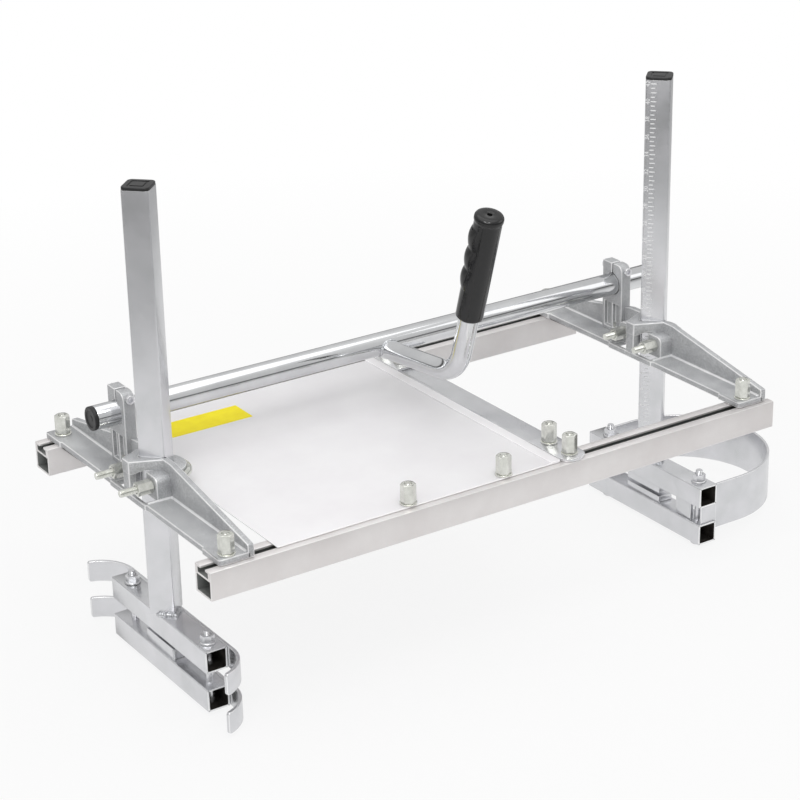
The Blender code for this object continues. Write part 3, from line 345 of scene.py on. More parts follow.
def addNode(tree, kind, settings=None, links=None):
    node = tree.nodes.new("ShaderNode" + kind)
    for key, value in (settings or {}).items():
        if isinstance(key, int) or key in node.inputs:
            node.inputs[key].default_value = value
        else:
            setattr(node, key, value)
    for key, source in (links or {}).items():     # a node stands for its first output
        isNode = isinstance(source, bpy.types.Node)
        tree.links.new(source.outputs[0] if isNode else source, node.inputs[key])
    return node


def addNoise(tree, place, size, settings):
    # noise with features of this many millimetres, on coordinates in metres
    return addNode(tree, "TexNoise", {"Scale": 1000.0 / size, **settings}, {"Vector": place})


def addRamp(tree, value, stops):
    node = addNode(tree, "ValToRGB", None, {"Fac": value})
    elements = node.color_ramp.elements
    while len(elements) < len(stops):
        elements.new(0.5)
    for element, (place, shade) in zip(elements, stops):
        element.position = place
        element.color = linear(shade) if isinstance(shade, str) else (shade,) * 3 + (1,)
    return node


def makeFinish(name, look):
    # cloudy colour, uneven gloss and fine relief
    material = bpy.data.materials.new(name)
    tree = emptyTree(material)
    place = addNode(tree, "TexCoord").outputs["Object"]
    cloud = addNoise(tree, place, look["cloudSize"], {"Detail": 4.0, "Roughness": 0.6})
    surface = addRamp(tree, cloud, [(0.32, look["dark"]), (0.68, look["light"])])
    if "speckSize" in look:
        speck = addNoise(tree, place, look["speckSize"], {"Detail": 2.0})
        spots = addRamp(tree, speck, [(0.42, look["speckDark"]), (0.6, "FFFFFF")])
        surface = addNode(tree, "Mix", {"data_type": "RGBA", "blend_type": "MULTIPLY",
                                        0: look["speckAmount"]}, {6: surface, 7: spots}).outputs[2]
    gloss = addNode(tree, "MapRange", {"To Min": look["rough"][0], "To Max": look["rough"][1]},
                    {"Value": cloud})
    stretched = addNode(tree, "Mapping", {"Scale": look.get("grainStretch", (1, 1, 1))},
                        {"Vector": place})
    grain = addNoise(tree, stretched, look["grainSize"], {"Detail": 3.0, "Roughness": 0.55})
    relief = addNode(tree, "Bump", {"Strength": look["relief"],
                                    "Distance": look["reliefDepth"] * mm}, {"Height": grain})
    shader = addNode(tree, "BsdfPrincipled",
                     {"Metallic": look["metallic"], **look.get("shader", {})},
                     {"Base Color": surface, "Roughness": gloss, "Normal": relief})
    addNode(tree, "OutputMaterial", None, {"Surface": shader})
    return material


looks = {
    # Anodised aluminium, extruded: satin and nearly white, with faint draw lines along X; its edge
    # colour is a painted highlight and its inside colour painted shade
    "anodisedAluminium": dict(
        slot="rail_aluminium", dark="DFDBDA", light="E9E6E5", cloudSize=60, metallic=0.6,
        rough=(0.36, 0.48), grainSize=0.5, grainStretch=(0.02, 1, 1), relief=0.25,
        reliefDepth=0.03, edge=dict(dark="EFEDEC", light="F5F4F3"),
        inside=dict(dark="7A7C7B", light="8E908E")),
    # Die-cast aluminium, tumbled: pale grey, fine pebbled skin, with a painted highlight in a
    # lighter, glossier colour along its edges
    "castAluminium": dict(
        slot="cast_aluminium", dark="BDBEC0", light="D2D3D4", cloudSize=22, metallic=0.4,
        rough=(0.42, 0.58), speckSize=1.1, speckDark="B4B5B6", speckAmount=0.5, grainSize=0.9,
        relief=0.35, reliefDepth=0.12,
        edge=dict(dark="E8E8E9", light="F5F5F5", speckAmount=0.1, rough=(0.3, 0.42))),
    # Zinc-plated steel tube and strip: bright, faintly clouded, soft reflections; its edge colour
    # is a painted highlight
    "zincPlatedSteel": dict(
        slot="zinc_steel", dark="D6D7D9", light="E3E3E6", cloudSize=35, metallic=0.9,
        rough=(0.2, 0.3), grainSize=3.0, relief=0.06, reliefDepth=0.05,
        edge=dict(dark="F0F1F2", light="F8F8F8")),
    # Passivated zinc on turned and formed fasteners, a little yellow; its edge colour is a painted
    # highlight
    "yellowZinc": dict(
        slot="zinc_fastener", dark="CCCDC6", light="E6E7E1", cloudSize=9, metallic=0.85,
        rough=(0.14, 0.24), grainSize=1.5, relief=0.08, reliefDepth=0.04,
        edge=dict(dark="EFEFE8", light="F7F7F2")),
    # Chrome plate on bent tube: near mirror
    "chromePlate": dict(
        slot="chrome_tube", dark="CFD0D2", light="DEDFE0", cloudSize=50, metallic=1.0,
        rough=(0.08, 0.14), grainSize=3.0, relief=0.03, reliefDepth=0.03),
    # Powder-coated sheet steel, pale: smooth with a slight orange peel; its edge colour is a
    # painted highlight
    "paleCoatedSheet": dict(
        slot="guard_sheet", dark="E6E4E6", light="ECEBEC", cloudSize=90, metallic=0.0,
        rough=(0.36, 0.44), grainSize=1.4, relief=0.08, reliefDepth=0.03,
        edge=dict(dark="F8F7F8", light="FCFBFC")),
    # Moulded polyethylene caps: black, low gloss
    "blackPolyethylene": dict(
        slot="black_plastic", dark="161617", light="222223", cloudSize=12, metallic=0.0,
        rough=(0.36, 0.48), grainSize=0.7, relief=0.2, reliefDepth=0.05),
    # Dipped vinyl hand grip: black and glossy
    "softVinyl": dict(
        slot="grip_plastic", dark="0D0D0E", light="121213", cloudSize=18, metallic=0.0,
        rough=(0.1, 0.17), grainSize=2.4, relief=0.08, reliefDepth=0.04),
    # Plain yellow vinyl film, unprinted
    "yellowVinylFilm": dict(
        slot="guard_sheet", dark="F3E010", light="FAEA1E", cloudSize=14, metallic=0.0,
        rough=(0.4, 0.5), grainSize=1.2, relief=0.05, reliefDepth=0.02,
        shader={"Specular IOR Level": 0.2}),
    # Laser-frosted rule marks: matt pale grey, lighter than the plating where that is dark
    "frostedEtch": dict(
        slot="zinc_steel", dark="E6E7E8", light="F4F4F4", cloudSize=3, metallic=0.0,
        rough=(0.65, 0.75), grainSize=0.4, relief=0.1, reliefDepth=0.02),
    # Painted shade inside the tubes: a dull, dark steel colour that stands in for the shade in
    # their hollows
    "paintedTubeShade": dict(
        slot="zinc_steel", dark="2A2725", light="47433F", cloudSize=9, metallic=0.6,
        rough=(0.4, 0.55), grainSize=1.0, relief=0.2, reliefDepth=0.05),
    # Weld metal left as laid, plated over: rippled and shiny
    "weldMetal": dict(
        slot="zinc_steel", dark="A9ABAE", light="E2E3E5", cloudSize=3.0, metallic=0.95,
        rough=(0.2, 0.38), grainSize=1.0, relief=0.5, reliefDepth=0.3),
}
# edge variants are lighter colours for a painted highlight on bevels; inside variants are darker
# colours for painted shade in hollows
for name in list(looks):
    for kind in ("edge", "inside"):
        if kind in looks[name]:
            looks[name + kind.title()] = {**looks[name], **looks[name][kind]}
finishes = {name: makeFinish(name, look) for name, look in looks.items()}
makeCamera()
print("camera and", len(finishes), "finishes made")


# slotted rails
rail = sizes(wall=2.0, slotWidth=9.0, lip=2.5, cavityWidth=20.0, cavityHeight=6.0, edge=0.6)


def makeRail(name, node):
    low, high, (_, middle, _) = boxOf(node)
    wall, half, wide = rail["wall"], rail["slotWidth"] / 2, rail["cavityWidth"] / 2
    lipLow = high[2] - rail["lip"]
    floor = lipLow - rail["cavityHeight"]
    start, end = low[0] - over, high[0] + over
    piece = addBox(name, low, high)
    carve(piece,
          addBox("slot", (start, middle - half, floor + wall),
                 (end, middle + half, high[2] + over)),
          addBox("cavity", (start, middle - wide, floor), (end, middle + wide, lipLow)),
          addBox("hollow", (start, low[1] + wall, low[2] + wall),
                 (end, high[1] - wall, floor - wall)))
    softenEdges(piece, rail["edge"])
    # the slot's bed and the hollow get a darker colour, painted shade where little light gets in
    markFaces(piece, 2, lambda face: abs(face.center.y - middle) < (high[1] - low[1] - wall) / 2
              and low[2] + wall / 2 < face.center.z < lipLow - apart
              and abs(face.normal.x) < crossing)
    finishPiece(piece, "anodisedAluminium", node)


makeRail("frontRail", "front_rail")
makeRail("rearRail", "rear_rail")
print("rails made")


# cast end brackets
# lap is how far one cast form runs into the next
bracket = sizes(footHeight=6.5, footCorner=3.0, waist=2.0, waistClear=6.0, padLength=34.0,
                webWidth=7.2, webEnd=14.0, webEndRadius=2.0, webFlat=74.0, bandHeight=14.0,
                bandWall=7.0, bandArch=3.0, archRadius=26.0, archLength=24.0, pillarWidth=14.0,
                pillarDepth=8.0, windowLength=64.0, windowRim=4.5, bossWidth=22.0, bossHeight=24.0,
                bossLength=16.0, bossCorner=7.0, legHole=8.8, fillet=1.8, filletSunk=0.3, edge=1.0,
                lap=3.0)
postSide = 28.0 * mm
postX = 35.0 * mm                  # post axis from the bracket's outer edge
legSpacing = 52.0 * mm
legHeight = 20.0 * mm
bracketLow, bracketHigh = (Vector(corner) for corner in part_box("left_bracket"))
(outerX, frontY, seat), (innerX, rearY, bracketTop) = bracketLow, bracketHigh
rightStep = Vector((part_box("right_bracket")[0][0] - outerX, 0, 0))
postY = (frontY + rearY) / 2
blockLow, blockHigh = (Vector(corner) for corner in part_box("left_pipe_block"))
webX = innerX - bracket["webWidth"]
footTop = seat + bracket["footHeight"]


def makeFoot(window):
    # a plate with a window under the post and a shallow waist in its outer edge
    foot = addBox("leftBracketCasting", bracketLow, (webX + bracket["lap"], rearY, footTop))
    roundCorners(foot, "Z", bracket["footCorner"], 4, lambda place: place.x < outerX + close)
    carve(foot, addBox("window", (outerX + bracket["windowRim"], postY - window, seat - over),
                       (webX - 2 * mm, postY + window, footTop + over)))
    inside, ends = window + bracket["waistClear"], bracket["padLength"]
    for low, high in ((frontY + ends, postY - inside), (postY + inside, rearY - ends)):
        waist = addBox("waist", (outerX - over, low, seat - over),
                       (outerX + bracket["waist"], high, footTop + over))
        roundCorners(waist, "Z", bracket["waist"], 4, lambda place: place.x > outerX)
        carve(foot, waist)
    return softenEdges(foot, bracket["edge"])


def makeWeb(postHole):
    # highest at the post, sloping down to low rounded ends
    web = addBox("web", (webX, frontY, seat), bracketHigh)
    flat, rise = bracket["webFlat"], bracketTop - seat - bracket["webEnd"]
    for end in (-1, 1):
        cutOff(web, (webX, postY + end * flat / 2, bracketTop),
               (0, end * rise, (rearY - frontY - flat) / 2))
    roundCorners(web, "X", bracket["webEndRadius"], 6, lambda place: place.z > seat + 2 * mm
                 and (place.y < frontY + close or place.y > rearY - close))
    carve(web, addBox("blockNotch", (blockLow.x - gap, blockLow.y - gap, footTop),
                      (blockHigh.x + over, blockHigh.y + gap, bracketTop + over)))
    softenEdges(web, bracket["edge"])
    carve(web, postHole)
    return web


def makeBand(postHole):
    # a collar round the post, drawn in to a pillar at its outer end
    depth = webX - outerX
    root = postSide / sqrt(2) - (postX - depth) + bracket["bandWall"]
    narrow = bracket["pillarWidth"] / 2
    under = bracketTop - bracket["bandHeight"]
    band = addBox("band", (outerX, postY - root, under),
                  (webX + bracket["lap"], postY + root, bracketTop - apart))
    for side in (-1, 1):
        cutOff(band, (outerX, postY + side * narrow, seat), (-(root - narrow), side * depth, 0))
    for side in (-1, 1):        # its underside rises in an arch on both sloping sides
        carve(band, addRod("arch", 2 * bracket["archRadius"], bracket["archLength"],
                           ((outerX + webX) / 2, postY + side * (narrow + root) / 2,
                            under + bracket["bandArch"] - bracket["archRadius"]),
                           "X", 96, side * atan2(-depth, root - narrow)))
    carve(band, postHole)
    softenEdges(band, bracket["edge"])
    pillar = addBox("pillar", (outerX + apart, postY - narrow + 0.3 * mm, seat + 1 * mm),
                    (outerX + bracket["pillarDepth"], postY + narrow - 0.3 * mm,
                     bracketTop - 1 * mm))
    return band, softenEdges(pillar, bracket["edge"])


def makeBoss(side):
    # the U-bolt's long nuts pull against it
    legY = postY + side * legSpacing / 2
    half = bracket["bossWidth"] / 2
    boss = addBox("boss", (webX - bracket["bossLength"], legY - half, footTop - 1 * mm),
                  (webX + 2 * mm, legY + half, footTop + bracket["bossHeight"]))
    roundCorners(boss, "X", bracket["bossCorner"], 8, lambda place: place.z > footTop
                 and (place.y - legY) * side > 0)
    softenEdges(boss, bracket["edge"])
    carve(boss, addRod("legHole", bracket["legHole"], 60 * mm,
                       (webX, legY, seat + legHeight), "X", 32))
    return boss


def makeFillet(low, high):
    # runs along the foot where the web stands on it
    size, sunk = bracket["fillet"], bracket["filletSunk"]
    strip = addBox("fillet", (webX - size, low, footTop - sunk),
                   (webX + sunk, high, footTop + size))
    roundCorners(strip, "Y", size * 0.98, 5, lambda place: place.x < webX - size / 2
                 and place.z > footTop + size / 2, 0.12)
    # the whole strip takes the lighter edge colour: a painted highlight along the joint
    markFaces(strip, 1)
    return strip


def makeRib(side):
    # crosses the foot where it meets a boss
    size = bracket["fillet"]
    edgeY = postY + side * (legSpacing + bracket["bossWidth"]) / 2
    low, high = sorted((edgeY, edgeY + side * size))
    rib = addBox("rib", (outerX + bracket["windowRim"] - 1 * mm, low, footTop - 0.4 * mm),
                 (webX + apart, high, footTop + size))
    roundCorners(rib, "X", size * 0.7, 4, lambda place: place.z > footTop
                 and (place.y - edgeY) * side > size / 2)
    # the whole rib takes the lighter edge colour: a painted highlight along the joint
    markFaces(rib, 1)
    return rib


def makeBracket():
    window, lap = bracket["windowLength"] / 2, bracket["lap"]
    hole = postSide / 2 + gap
    centre = outerX + postX
    postHoles = [addBox("postHole", (centre - hole, postY - hole, seat - over),
                        (centre + hole, postY + hole, bracketTop + over), radians(45))
                 for _ in range(2)]
    foot = makeFoot(window)
    forms = [makeWeb(postHoles[0]), *makeBand(postHoles[1]), makeBoss(-1), makeBoss(1)]
    forms += [makeFillet(low, high) for low, high in
              ((frontY + lap, postY - window - lap),
               (postY + window + lap, blockLow.y - 2 * mm), (blockHigh.y + 2 * mm, rearY - lap))]
    return joinAll(foot, *forms, makeRib(-1), makeRib(1))


finishBothEnds(makeBracket(), "BracketCasting", "bracket", "castAluminium")
print("brackets made")


# square tubes: posts and clamp bars
tube = sizes(wall=2.0, postCorner=2.6, barCorner=1.2, rim=0.35)
cap = sizes(corner=5.5, edge=1.0, plug=23.4, plugLength=20.0, height=3.2, side=28.6, groove=18.0,
            island=13.0, grooveDepth=0.6, crownDrop=0.02)


def capBase(node):
    # the cap's rim is thin in the photo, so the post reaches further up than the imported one
    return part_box(node)[1][2] - cap["height"]


def makePost(name, node):
    low, _, (x, y, _) = boxOf(node)
    half = postSide / 2
    post = addBox(name, (-half, -half, low[2]), (half, half, capBase(node + "_cap")))
    roundCorners(post, "Z", tube["postCorner"], 6)
    openEnds(post, "Z", tube["wall"])
    standOnEdge(post, x, y)
    softenEdges(post, tube["rim"], 2, 60)
    markHollow(post, "Z", (x, y, 0), postSide)
    finishPiece(post, "zincPlatedSteel", node)


def makeBar(name, node):
    low, high, (x, _, z) = boxOf(node)
    bar = addBox(name, low, high)
    roundCorners(bar, "Y", tube["barCorner"], 5)
    openEnds(bar, "Y", tube["wall"])
    softenEdges(bar, tube["rim"], 2, 60)
    markHollow(bar, "Y", (x, 0, z), high[0] - low[0])
    finishPiece(bar, "zincPlatedSteel", node)


for side in ("left", "right"):
    makePost(side + "Post", side + "_post")
for side in ("left", "right"):
    makeBar(side + "UpperBar", side + "_upper_bar")
    makeBar(side + "LowerBar", side + "_lower_bar")
print("posts and clamp bars made")


# jaw pads
pad = sizes(corner=1.0, edge=0.35, length=58.0, rightThick=8.7, stopThick=4.5, stopLength=26.0,
            tie=1.5)


def addPad(name, low, high):
    piece = addBox(name, low, high)
    roundCorners(piece, "Z", pad["corner"], 3)
    return softenEdges(piece, pad["edge"])


def makePads(side):
    lower = addPad(side + "LowerPad", *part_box(side + "_lower_pad"))
    finishPiece(lower, "zincPlatedSteel", side + "_lower_pad")
    low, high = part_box(side + "_upper_pad")
    under = high[2] - pad["rightThick"] if side == "right" else low[2]
    upper = addPad(side + "UpperPad", (low[0], postY - pad["length"] / 2, under),
                   (high[0], postY + pad["length"] / 2, high[2]))
    if side == "right":     # an upright stop by the front bolt, on a thin tie under the bar
        inner = low[0] + pad["stopThick"]
        stop = addBox("stop", low, (inner, low[1] + pad["stopLength"], high[2]))
        tie = addBox("tie", (low[0] + apart / 2, low[1] + pad["stopLength"] / 2,
                             high[2] - pad["tie"]),
                     (inner - apart / 2, postY, high[2] - apart / 2))
        joinAll(upper, softenEdges(stop, pad["edge"]), softenEdges(tie, pad["edge"]))
    finishPiece(upper, "zincPlatedSteel", side + "_upper_pad")


makePads("left")
makePads("right")
print("jaw pads made")


# threads, hexagons and fasteners
# a real M8 thread has a pitch of 1.25 mm, and this one is coarser so that it shows
thread = sizes(pitch=1.7, depth=0.7, tip=0.5)


def turnThread(rod, axis, diameter, start, length, centre):
    # cuts across the rod's long edges, with every other ring drawn in
    index = "XYZ".index(axis)
    turns = max(2, round(length / thread["pitch"]))
    step = length / (2 * turns)
    editWhere(rod, "EDGE", lambda edge: runsAlong(edge, axis)
              and (edge.verts[1].co - edge.verts[0].co).length > length * 0.9)
    bpy.ops.mesh.subdivide(number_cuts=2 * turns - 1)
    editDone()
    editWhere(rod, "VERT", lambda point: round((point.co[index] - start) / step) % 2 == 1
              and start + step / 2 < point.co[index] < start + length - step / 2)
    resizeAcross(axis, 1 - 2 * thread["depth"] / diameter, centre)


def addThreadedRod(name, diameter, length, start, axis):
    # start is the centre of the rod's low end
    index = "XYZ".index(axis)
    centre = Vector(start)
    centre[index] += length / 2
    rod = addRod(name, diameter, length, centre, axis, 24)
    turnThread(rod, axis, diameter, start[index], length, centre)
    editWhere(rod, "FACE", lambda face: abs(face.normal[index]) > aligned
              and len(face.verts) > 4)
    bevelEdges(thread["tip"], 1)
    return rod


def addHexagon(name, flats, height, centre, axis, chamfered=(1, -1)):
    # hexagon whose corners are turned off by a cone at its ends
    index = "XYZ".index(axis)
    across = flats / cos(pi / 6)
    hexagon = addRod(name, across, height, centre, axis, 6)
    blank = addRod("blank", across + apart, height, centre, axis, 60)
    for sign in chamfered:
        editWhere(blank, "FACE", facing(axis, sign))
        drop = Vector((0, 0, 0))
        drop[index] = -sign * (across - flats * 0.94) / 2 * tan(radians(30))
        bpy.ops.transform.translate(value=drop)
        extrudeBy(-drop)
        hub = Vector(centre)
        hub[index] += sign * height / 2
        resizeAcross(axis, flats * 0.94 / across, hub)
    carve(hexagon, blank, operation="INTERSECT")
    return hexagon


fastener = sizes(flats=14.0, nutHeight=20.0, washer=18.0, washerThick=1.6, washerEdge=0.35,
                 shank=8.0, shankLength=14.0, stud=7.0, studLength=5.0, studTip=1.2,
                 headLength=8.6, headWidth=16.0, headHeight=4.2, headEdge=0.5, sink=8.9)
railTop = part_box("front_rail")[1][2]


def makeNutTop():
    # coupling nut on its washer, with the stud's end in a countersink, standing at z = 0
    lift = fastener["washerThick"] + gap
    height = fastener["nutHeight"]
    nut = addHexagon("nutTop", fastener["flats"], height, Vector((0, 0, lift + height / 2)), "Z")
    sink = addRod("sink", fastener["sink"], 2 * mm, (0, 0, lift + height), "Z", 32)
    editWhere(sink, "FACE", facing("Z", -1))
    resizeAcross("Z", 0.8, (0, 0, 0))
    carve(nut, sink)
    washer = addRod("washer", fastener["washer"], fastener["washerThick"],
                    (0, 0, gap + fastener["washerThick"] / 2), "Z", 56)
    softenEdges(washer, fastener["washerEdge"])
    tip = lift + height + fastener["studTip"]
    return joinAll(nut, washer, addThreadedRod("stud", fastener["stud"], fastener["studLength"],
                                               (0, 0, tip - fastener["studLength"]), "Z"))


def makeNutFoot():
    # shank and slot head, as they lie in the rail
    top = railTop - rail["lip"] - gap
    length, width = fastener["headLength"] / 2, fastener["headWidth"] / 2
    head = addBox("nutFoot", (-length, -width, top - fastener["headHeight"]), (length, width, top))
    softenEdges(head, fastener["headEdge"])
    return joinAll(head, addRod("shank", fastener["shank"], fastener["shankLength"],
                                (0, 0, top + 5 * mm), "Z", 24))


nutTop, nutFoot = makeNutTop(), makeNutFoot()
railNuts = ("left_front_rail_nut", "left_rear_rail_nut", "right_front_rail_nut",
            "right_rear_rail_nut", "guard_left_nut", "guard_right_nut", "brace_front_rail_nut",
            "brace_front_nut", "brace_rear_nut", "brace_rear_rail_nut")
for index, node in enumerate(railNuts):
    _, high, (x, y, _) = boxOf(node)
    base = high[2] - fastener["studTip"] - fastener["nutHeight"] - fastener["washerThick"] - gap
    top = copyOf(nutTop, "railNut" + str(index), (x, y, base))
    foot = copyOf(nutFoot, "foot", (x, y, 0))
    finishPiece(joinAll(top, foot), "yellowZinc", node, 30)
discard(nutTop)
discard(nutFoot)
print("rail nuts made")


# U-bolts, their long nuts and saddles
uBolt = {**sizes(diameter=8.0, threadLength=30.0, nutFlats=13.0, nutLength=17.5, bore=8.8,
                 saddleRadius=24.5, saddleThick=14.0, saddleEdge=0.5, overhang=20.6, bend=41.0),
         "bendSteps": 24}
rightTipsIn = 5.5 * mm              # the right U-bolt stands out less in the photo
legZ = seat + legHeight
bendX = outerX + uBolt["bend"]


def makeUBolt(name, shorter=0.0):
    radius = legSpacing / 2
    start = outerX - uBolt["overhang"] + shorter
    threadEnd = start + uBolt["threadLength"]
    bolt = addDisc(name, uBolt["diameter"], 24, (threadEnd, postY - radius, legZ), (0, pi / 2, 0))
    editWhere(bolt)
    extrudeBy((bendX - threadEnd, 0, 0))
    bpy.ops.mesh.spin(steps=uBolt["bendSteps"], angle=-pi, center=(bendX, postY, legZ),
                      axis=(0, 0, 1))
    extrudeBy((threadEnd - bendX, 0, 0))
    editDone()
    threads = [addThreadedRod("thread", uBolt["diameter"], uBolt["threadLength"],
                              (start, postY + side * radius, legZ), "X") for side in (-1, 1)]
    return joinAll(bolt, *threads)


def makeSaddle():
    saddle = addRod("leftSaddle", 2 * uBolt["saddleRadius"], uBolt["saddleThick"],
                    (bendX, postY, legZ), "Z", 72)
    cutOff(saddle, (bendX, postY, legZ), (-1, 0, 0))
    softenEdges(saddle, uBolt["saddleEdge"])
    nothingSelected()
    bpy.ops.mesh.primitive_torus_add(
        major_radius=legSpacing / 2, minor_radius=uBolt["diameter"] / 2 + gap,
        major_segments=72, minor_segments=20, location=(bendX, postY, legZ))
    groove = keepPlace("groove")
    half = postSide / 2 + gap
    axisX = outerX + postX
    notch = addBox("notch", (axisX - half, postY - half, legZ - 20 * mm),
                   (axisX + half, postY + half, legZ + 20 * mm), radians(45))
    carve(saddle, groove, notch)
    return saddle


leftBolt = makeUBolt("leftUBolt")
shortBolt = makeUBolt("shortUBolt", rightTipsIn)
rightBolt = copyOf(shortBolt, "rightUBolt", rightStep)
discard(shortBolt)
finishPiece(leftBolt, "yellowZinc", "left_u_bolt", 30)
finishPiece(rightBolt, "yellowZinc", "right_u_bolt", 30)
finishBothEnds(makeSaddle(), "Saddle", "saddle", "castAluminium")
legNut = addHexagon("legNut", uBolt["nutFlats"], uBolt["nutLength"], Vector((0, 0, 0)), "X")
carve(legNut, addRod("bore", uBolt["bore"], 40 * mm, (0, 0, 0), "X", 32))
legNuts = ("left_u_bolt_front_nut", "left_u_bolt_rear_nut", "right_u_bolt_front_nut",
           "right_u_bolt_rear_nut")
for index, node in enumerate(legNuts):
    finishPiece(copyOf(legNut, "legNut" + str(index), boxOf(node)[2]), "yellowZinc", node, 30)
discard(legNut)
print("U-bolts made")


# clamp bolts and their flanged nuts
clampBolt = sizes(diameter=8.0, flats=13.0, headHeight=5.5, flange=17.5, flangeThick=1.8,
                  flangeEdge=0.3, bore=8.8, nutHeight=7.5, thread=34.0)


def makeClampBolt(name, node):
    low, high, (x, y, _) = boxOf(node)
    head = addHexagon(name, clampBolt["flats"], clampBolt["headHeight"],
                      Vector((x, y, low[2] + clampBolt["headHeight"] / 2)), "Z", (-1,))
    threadStart = high[2] - clampBolt["thread"]
    shankStart = low[2] + clampBolt["headHeight"] / 2
    shank = addRod("shank", clampBolt["diameter"], threadStart - shankStart,
                   (x, y, (threadStart + shankStart) / 2), "Z", 24)
    threaded = addThreadedRod("thread", clampBolt["diameter"], clampBolt["thread"],
                              (x, y, threadStart), "Z")
    finishPiece(joinAll(head, shank, threaded), "zincPlatedSteel", node, 30)


def makeClampNut(name, node):
    low, high, (x, y, _) = boxOf(node)
    height = clampBolt["nutHeight"] + clampBolt["flangeThick"] / 2
    nut = addHexagon(name, clampBolt["flats"], height, Vector((x, y, high[2] - height / 2)), "Z",
                     (1,))
    flange = addRod("flange", clampBolt["flange"], clampBolt["flangeThick"],
                    (x, y, low[2] + clampBolt["flangeThick"] / 2), "Z", 56)
    editWhere(flange, "FACE", facing("Z"))
    resizeAcross("Z", 0.9, (x, y, 0))
    softenEdges(flange, clampBolt["flangeEdge"], 2, 25)
    for part in (nut, flange):
        carve(part, addRod("bore", clampBolt["bore"], 30 * mm, (x, y, low[2]), "Z", 32))
    finishPiece(joinAll(nut, flange), "zincPlatedSteel", node, 30)


for side in ("left", "right"):
    for place in ("front", "rear"):
        name, node = side + place.title() + "Clamp", f"{side}_{place}_clamp_"
        makeClampBolt(name + "Bolt", node + "bolt")
        makeClampNut(name + "Nut", node + "nut")
print("clamp fasteners made")


# skid straps and nose guard
strap = {**sizes(thick=4.0, radius=45.0, endCorner=3.0, edge=0.7), "angle": radians(75),
         "steps": 16}
nose = {**sizes(straight=36.0, thick=3.0, edge=0.5, tongue=21.0), "steps": 48}


def makeStrap(name, node):
    low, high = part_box(node)
    centreX = high[0] - strap["radius"]
    angle = strap["angle"]
    reach = strap["radius"] * sin(angle)       # of each curl, past the straight part
    ends = ((-1, low[1] + reach), (1, high[1] - reach))
    piece = addBox(name, (high[0] - strap["thick"], ends[0][1], low[2]),
                   (high[0], ends[1][1], high[2]))
    for sign, y in ends:
        editWhere(piece, "FACE", facing("Y", sign))
        bpy.ops.mesh.spin(steps=strap["steps"], angle=-sign * angle, center=(centreX, y, 0),
                          axis=(0, 0, 1))
        editDone()
    # the free ends, cut square and rounded at top and bottom
    tip = strap["radius"] - strap["thick"] / 2
    tips = [Vector((centreX + tip * cos(angle), y + sign * tip * sin(angle))) for sign, y in ends]
    editWhere(piece, "EDGE", lambda edge: abs(edge.verts[0].co.z - edge.verts[1].co.z) < hair
              and min((middleOf(edge).xy - tip).length for tip in tips) < 0.3 * mm)
    bevelEdges(strap["endCorner"], 5)
    finishPiece(softenEdges(piece, strap["edge"], 3), "zincPlatedSteel", node)


def makeNoseGuard():
    low, high, (_, middleY, _) = boxOf("nose_guard")
    bend = low[0] + nose["straight"]
    front = low[1] + 0.01 * mm
    piece = addBox("noseGuard", (low[0], front, low[2]), (bend, front + nose["thick"], high[2]))
    editWhere(piece, "FACE", facing("X"))
    bpy.ops.mesh.spin(steps=nose["steps"], angle=-pi, center=(bend, middleY, 0), axis=(0, 0, 1))
    extrudeBy((-nose["straight"], 0, 0))
    editDone()
    # a tongue reaches in between the bars, up to the bolt
    tongue = addBox("tongue", (low[0] - nose["tongue"], low[1] + apart / 2,
                               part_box("right_lower_bar")[1][2] + gap),
                    (low[0] + 2 * mm, low[1] + nose["thick"] - apart / 2,
                     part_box("right_upper_bar")[0][2] - gap))
    joinAll(piece, tongue)
    finishPiece(softenEdges(piece, nose["edge"], 3), "zincPlatedSteel", "nose_guard")


makeStrap("upperSkidStrap", "upper_skid_strap")
makeStrap("lowerSkidStrap", "lower_skid_strap")
makeNoseGuard()
print("straps and nose guard made")


# sheet guard, brace and joint plates
guard = sizes(thick=1.5, hem=12.0, hemEdge=0.7, corner=1.5, edge=0.45)
label = {**sizes(thick=0.15, corner=1.5), "low": (-0.2946, 0.1060), "high": (-0.1968, 0.1440)}
brace = sizes(wall=2.5, lip=6.0, lipRise=1.0, edge=0.6)
plate = sizes(round=14.6, corner=1.2, edge=0.5)


def makeGuard():
    low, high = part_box("guard_plate")
    top = low[2] + guard["thick"]
    sheet = addBox("guardSheet", low, (high[0], high[1], top))
    roundCorners(sheet, "Z", guard["corner"], 3)
    softenEdges(sheet, guard["edge"])
    # its thin sides take the lighter edge colour: a painted highlight over their shade
    markFaces(sheet, 1, lambda face: abs(face.normal.z) < crossing)
    hem = addBox("hem", (high[0] - guard["hem"], low[1] + apart, low[2] + 2 * apart),
                 (high[0], high[1] - apart, high[2]))
    softenEdges(hem, guard["hemEdge"], 3)
    finishPiece(joinAll(sheet, hem), "paleCoatedSheet", "guard_plate")
    film = addBox("plainYellowFilm", (*label["low"], top - 0.05 * mm),
                  (*label["high"], top + label["thick"]))
    roundCorners(film, "Z", label["corner"], 4)
    finishPiece(film, "yellowVinylFilm", "guard_plate", stands=False)


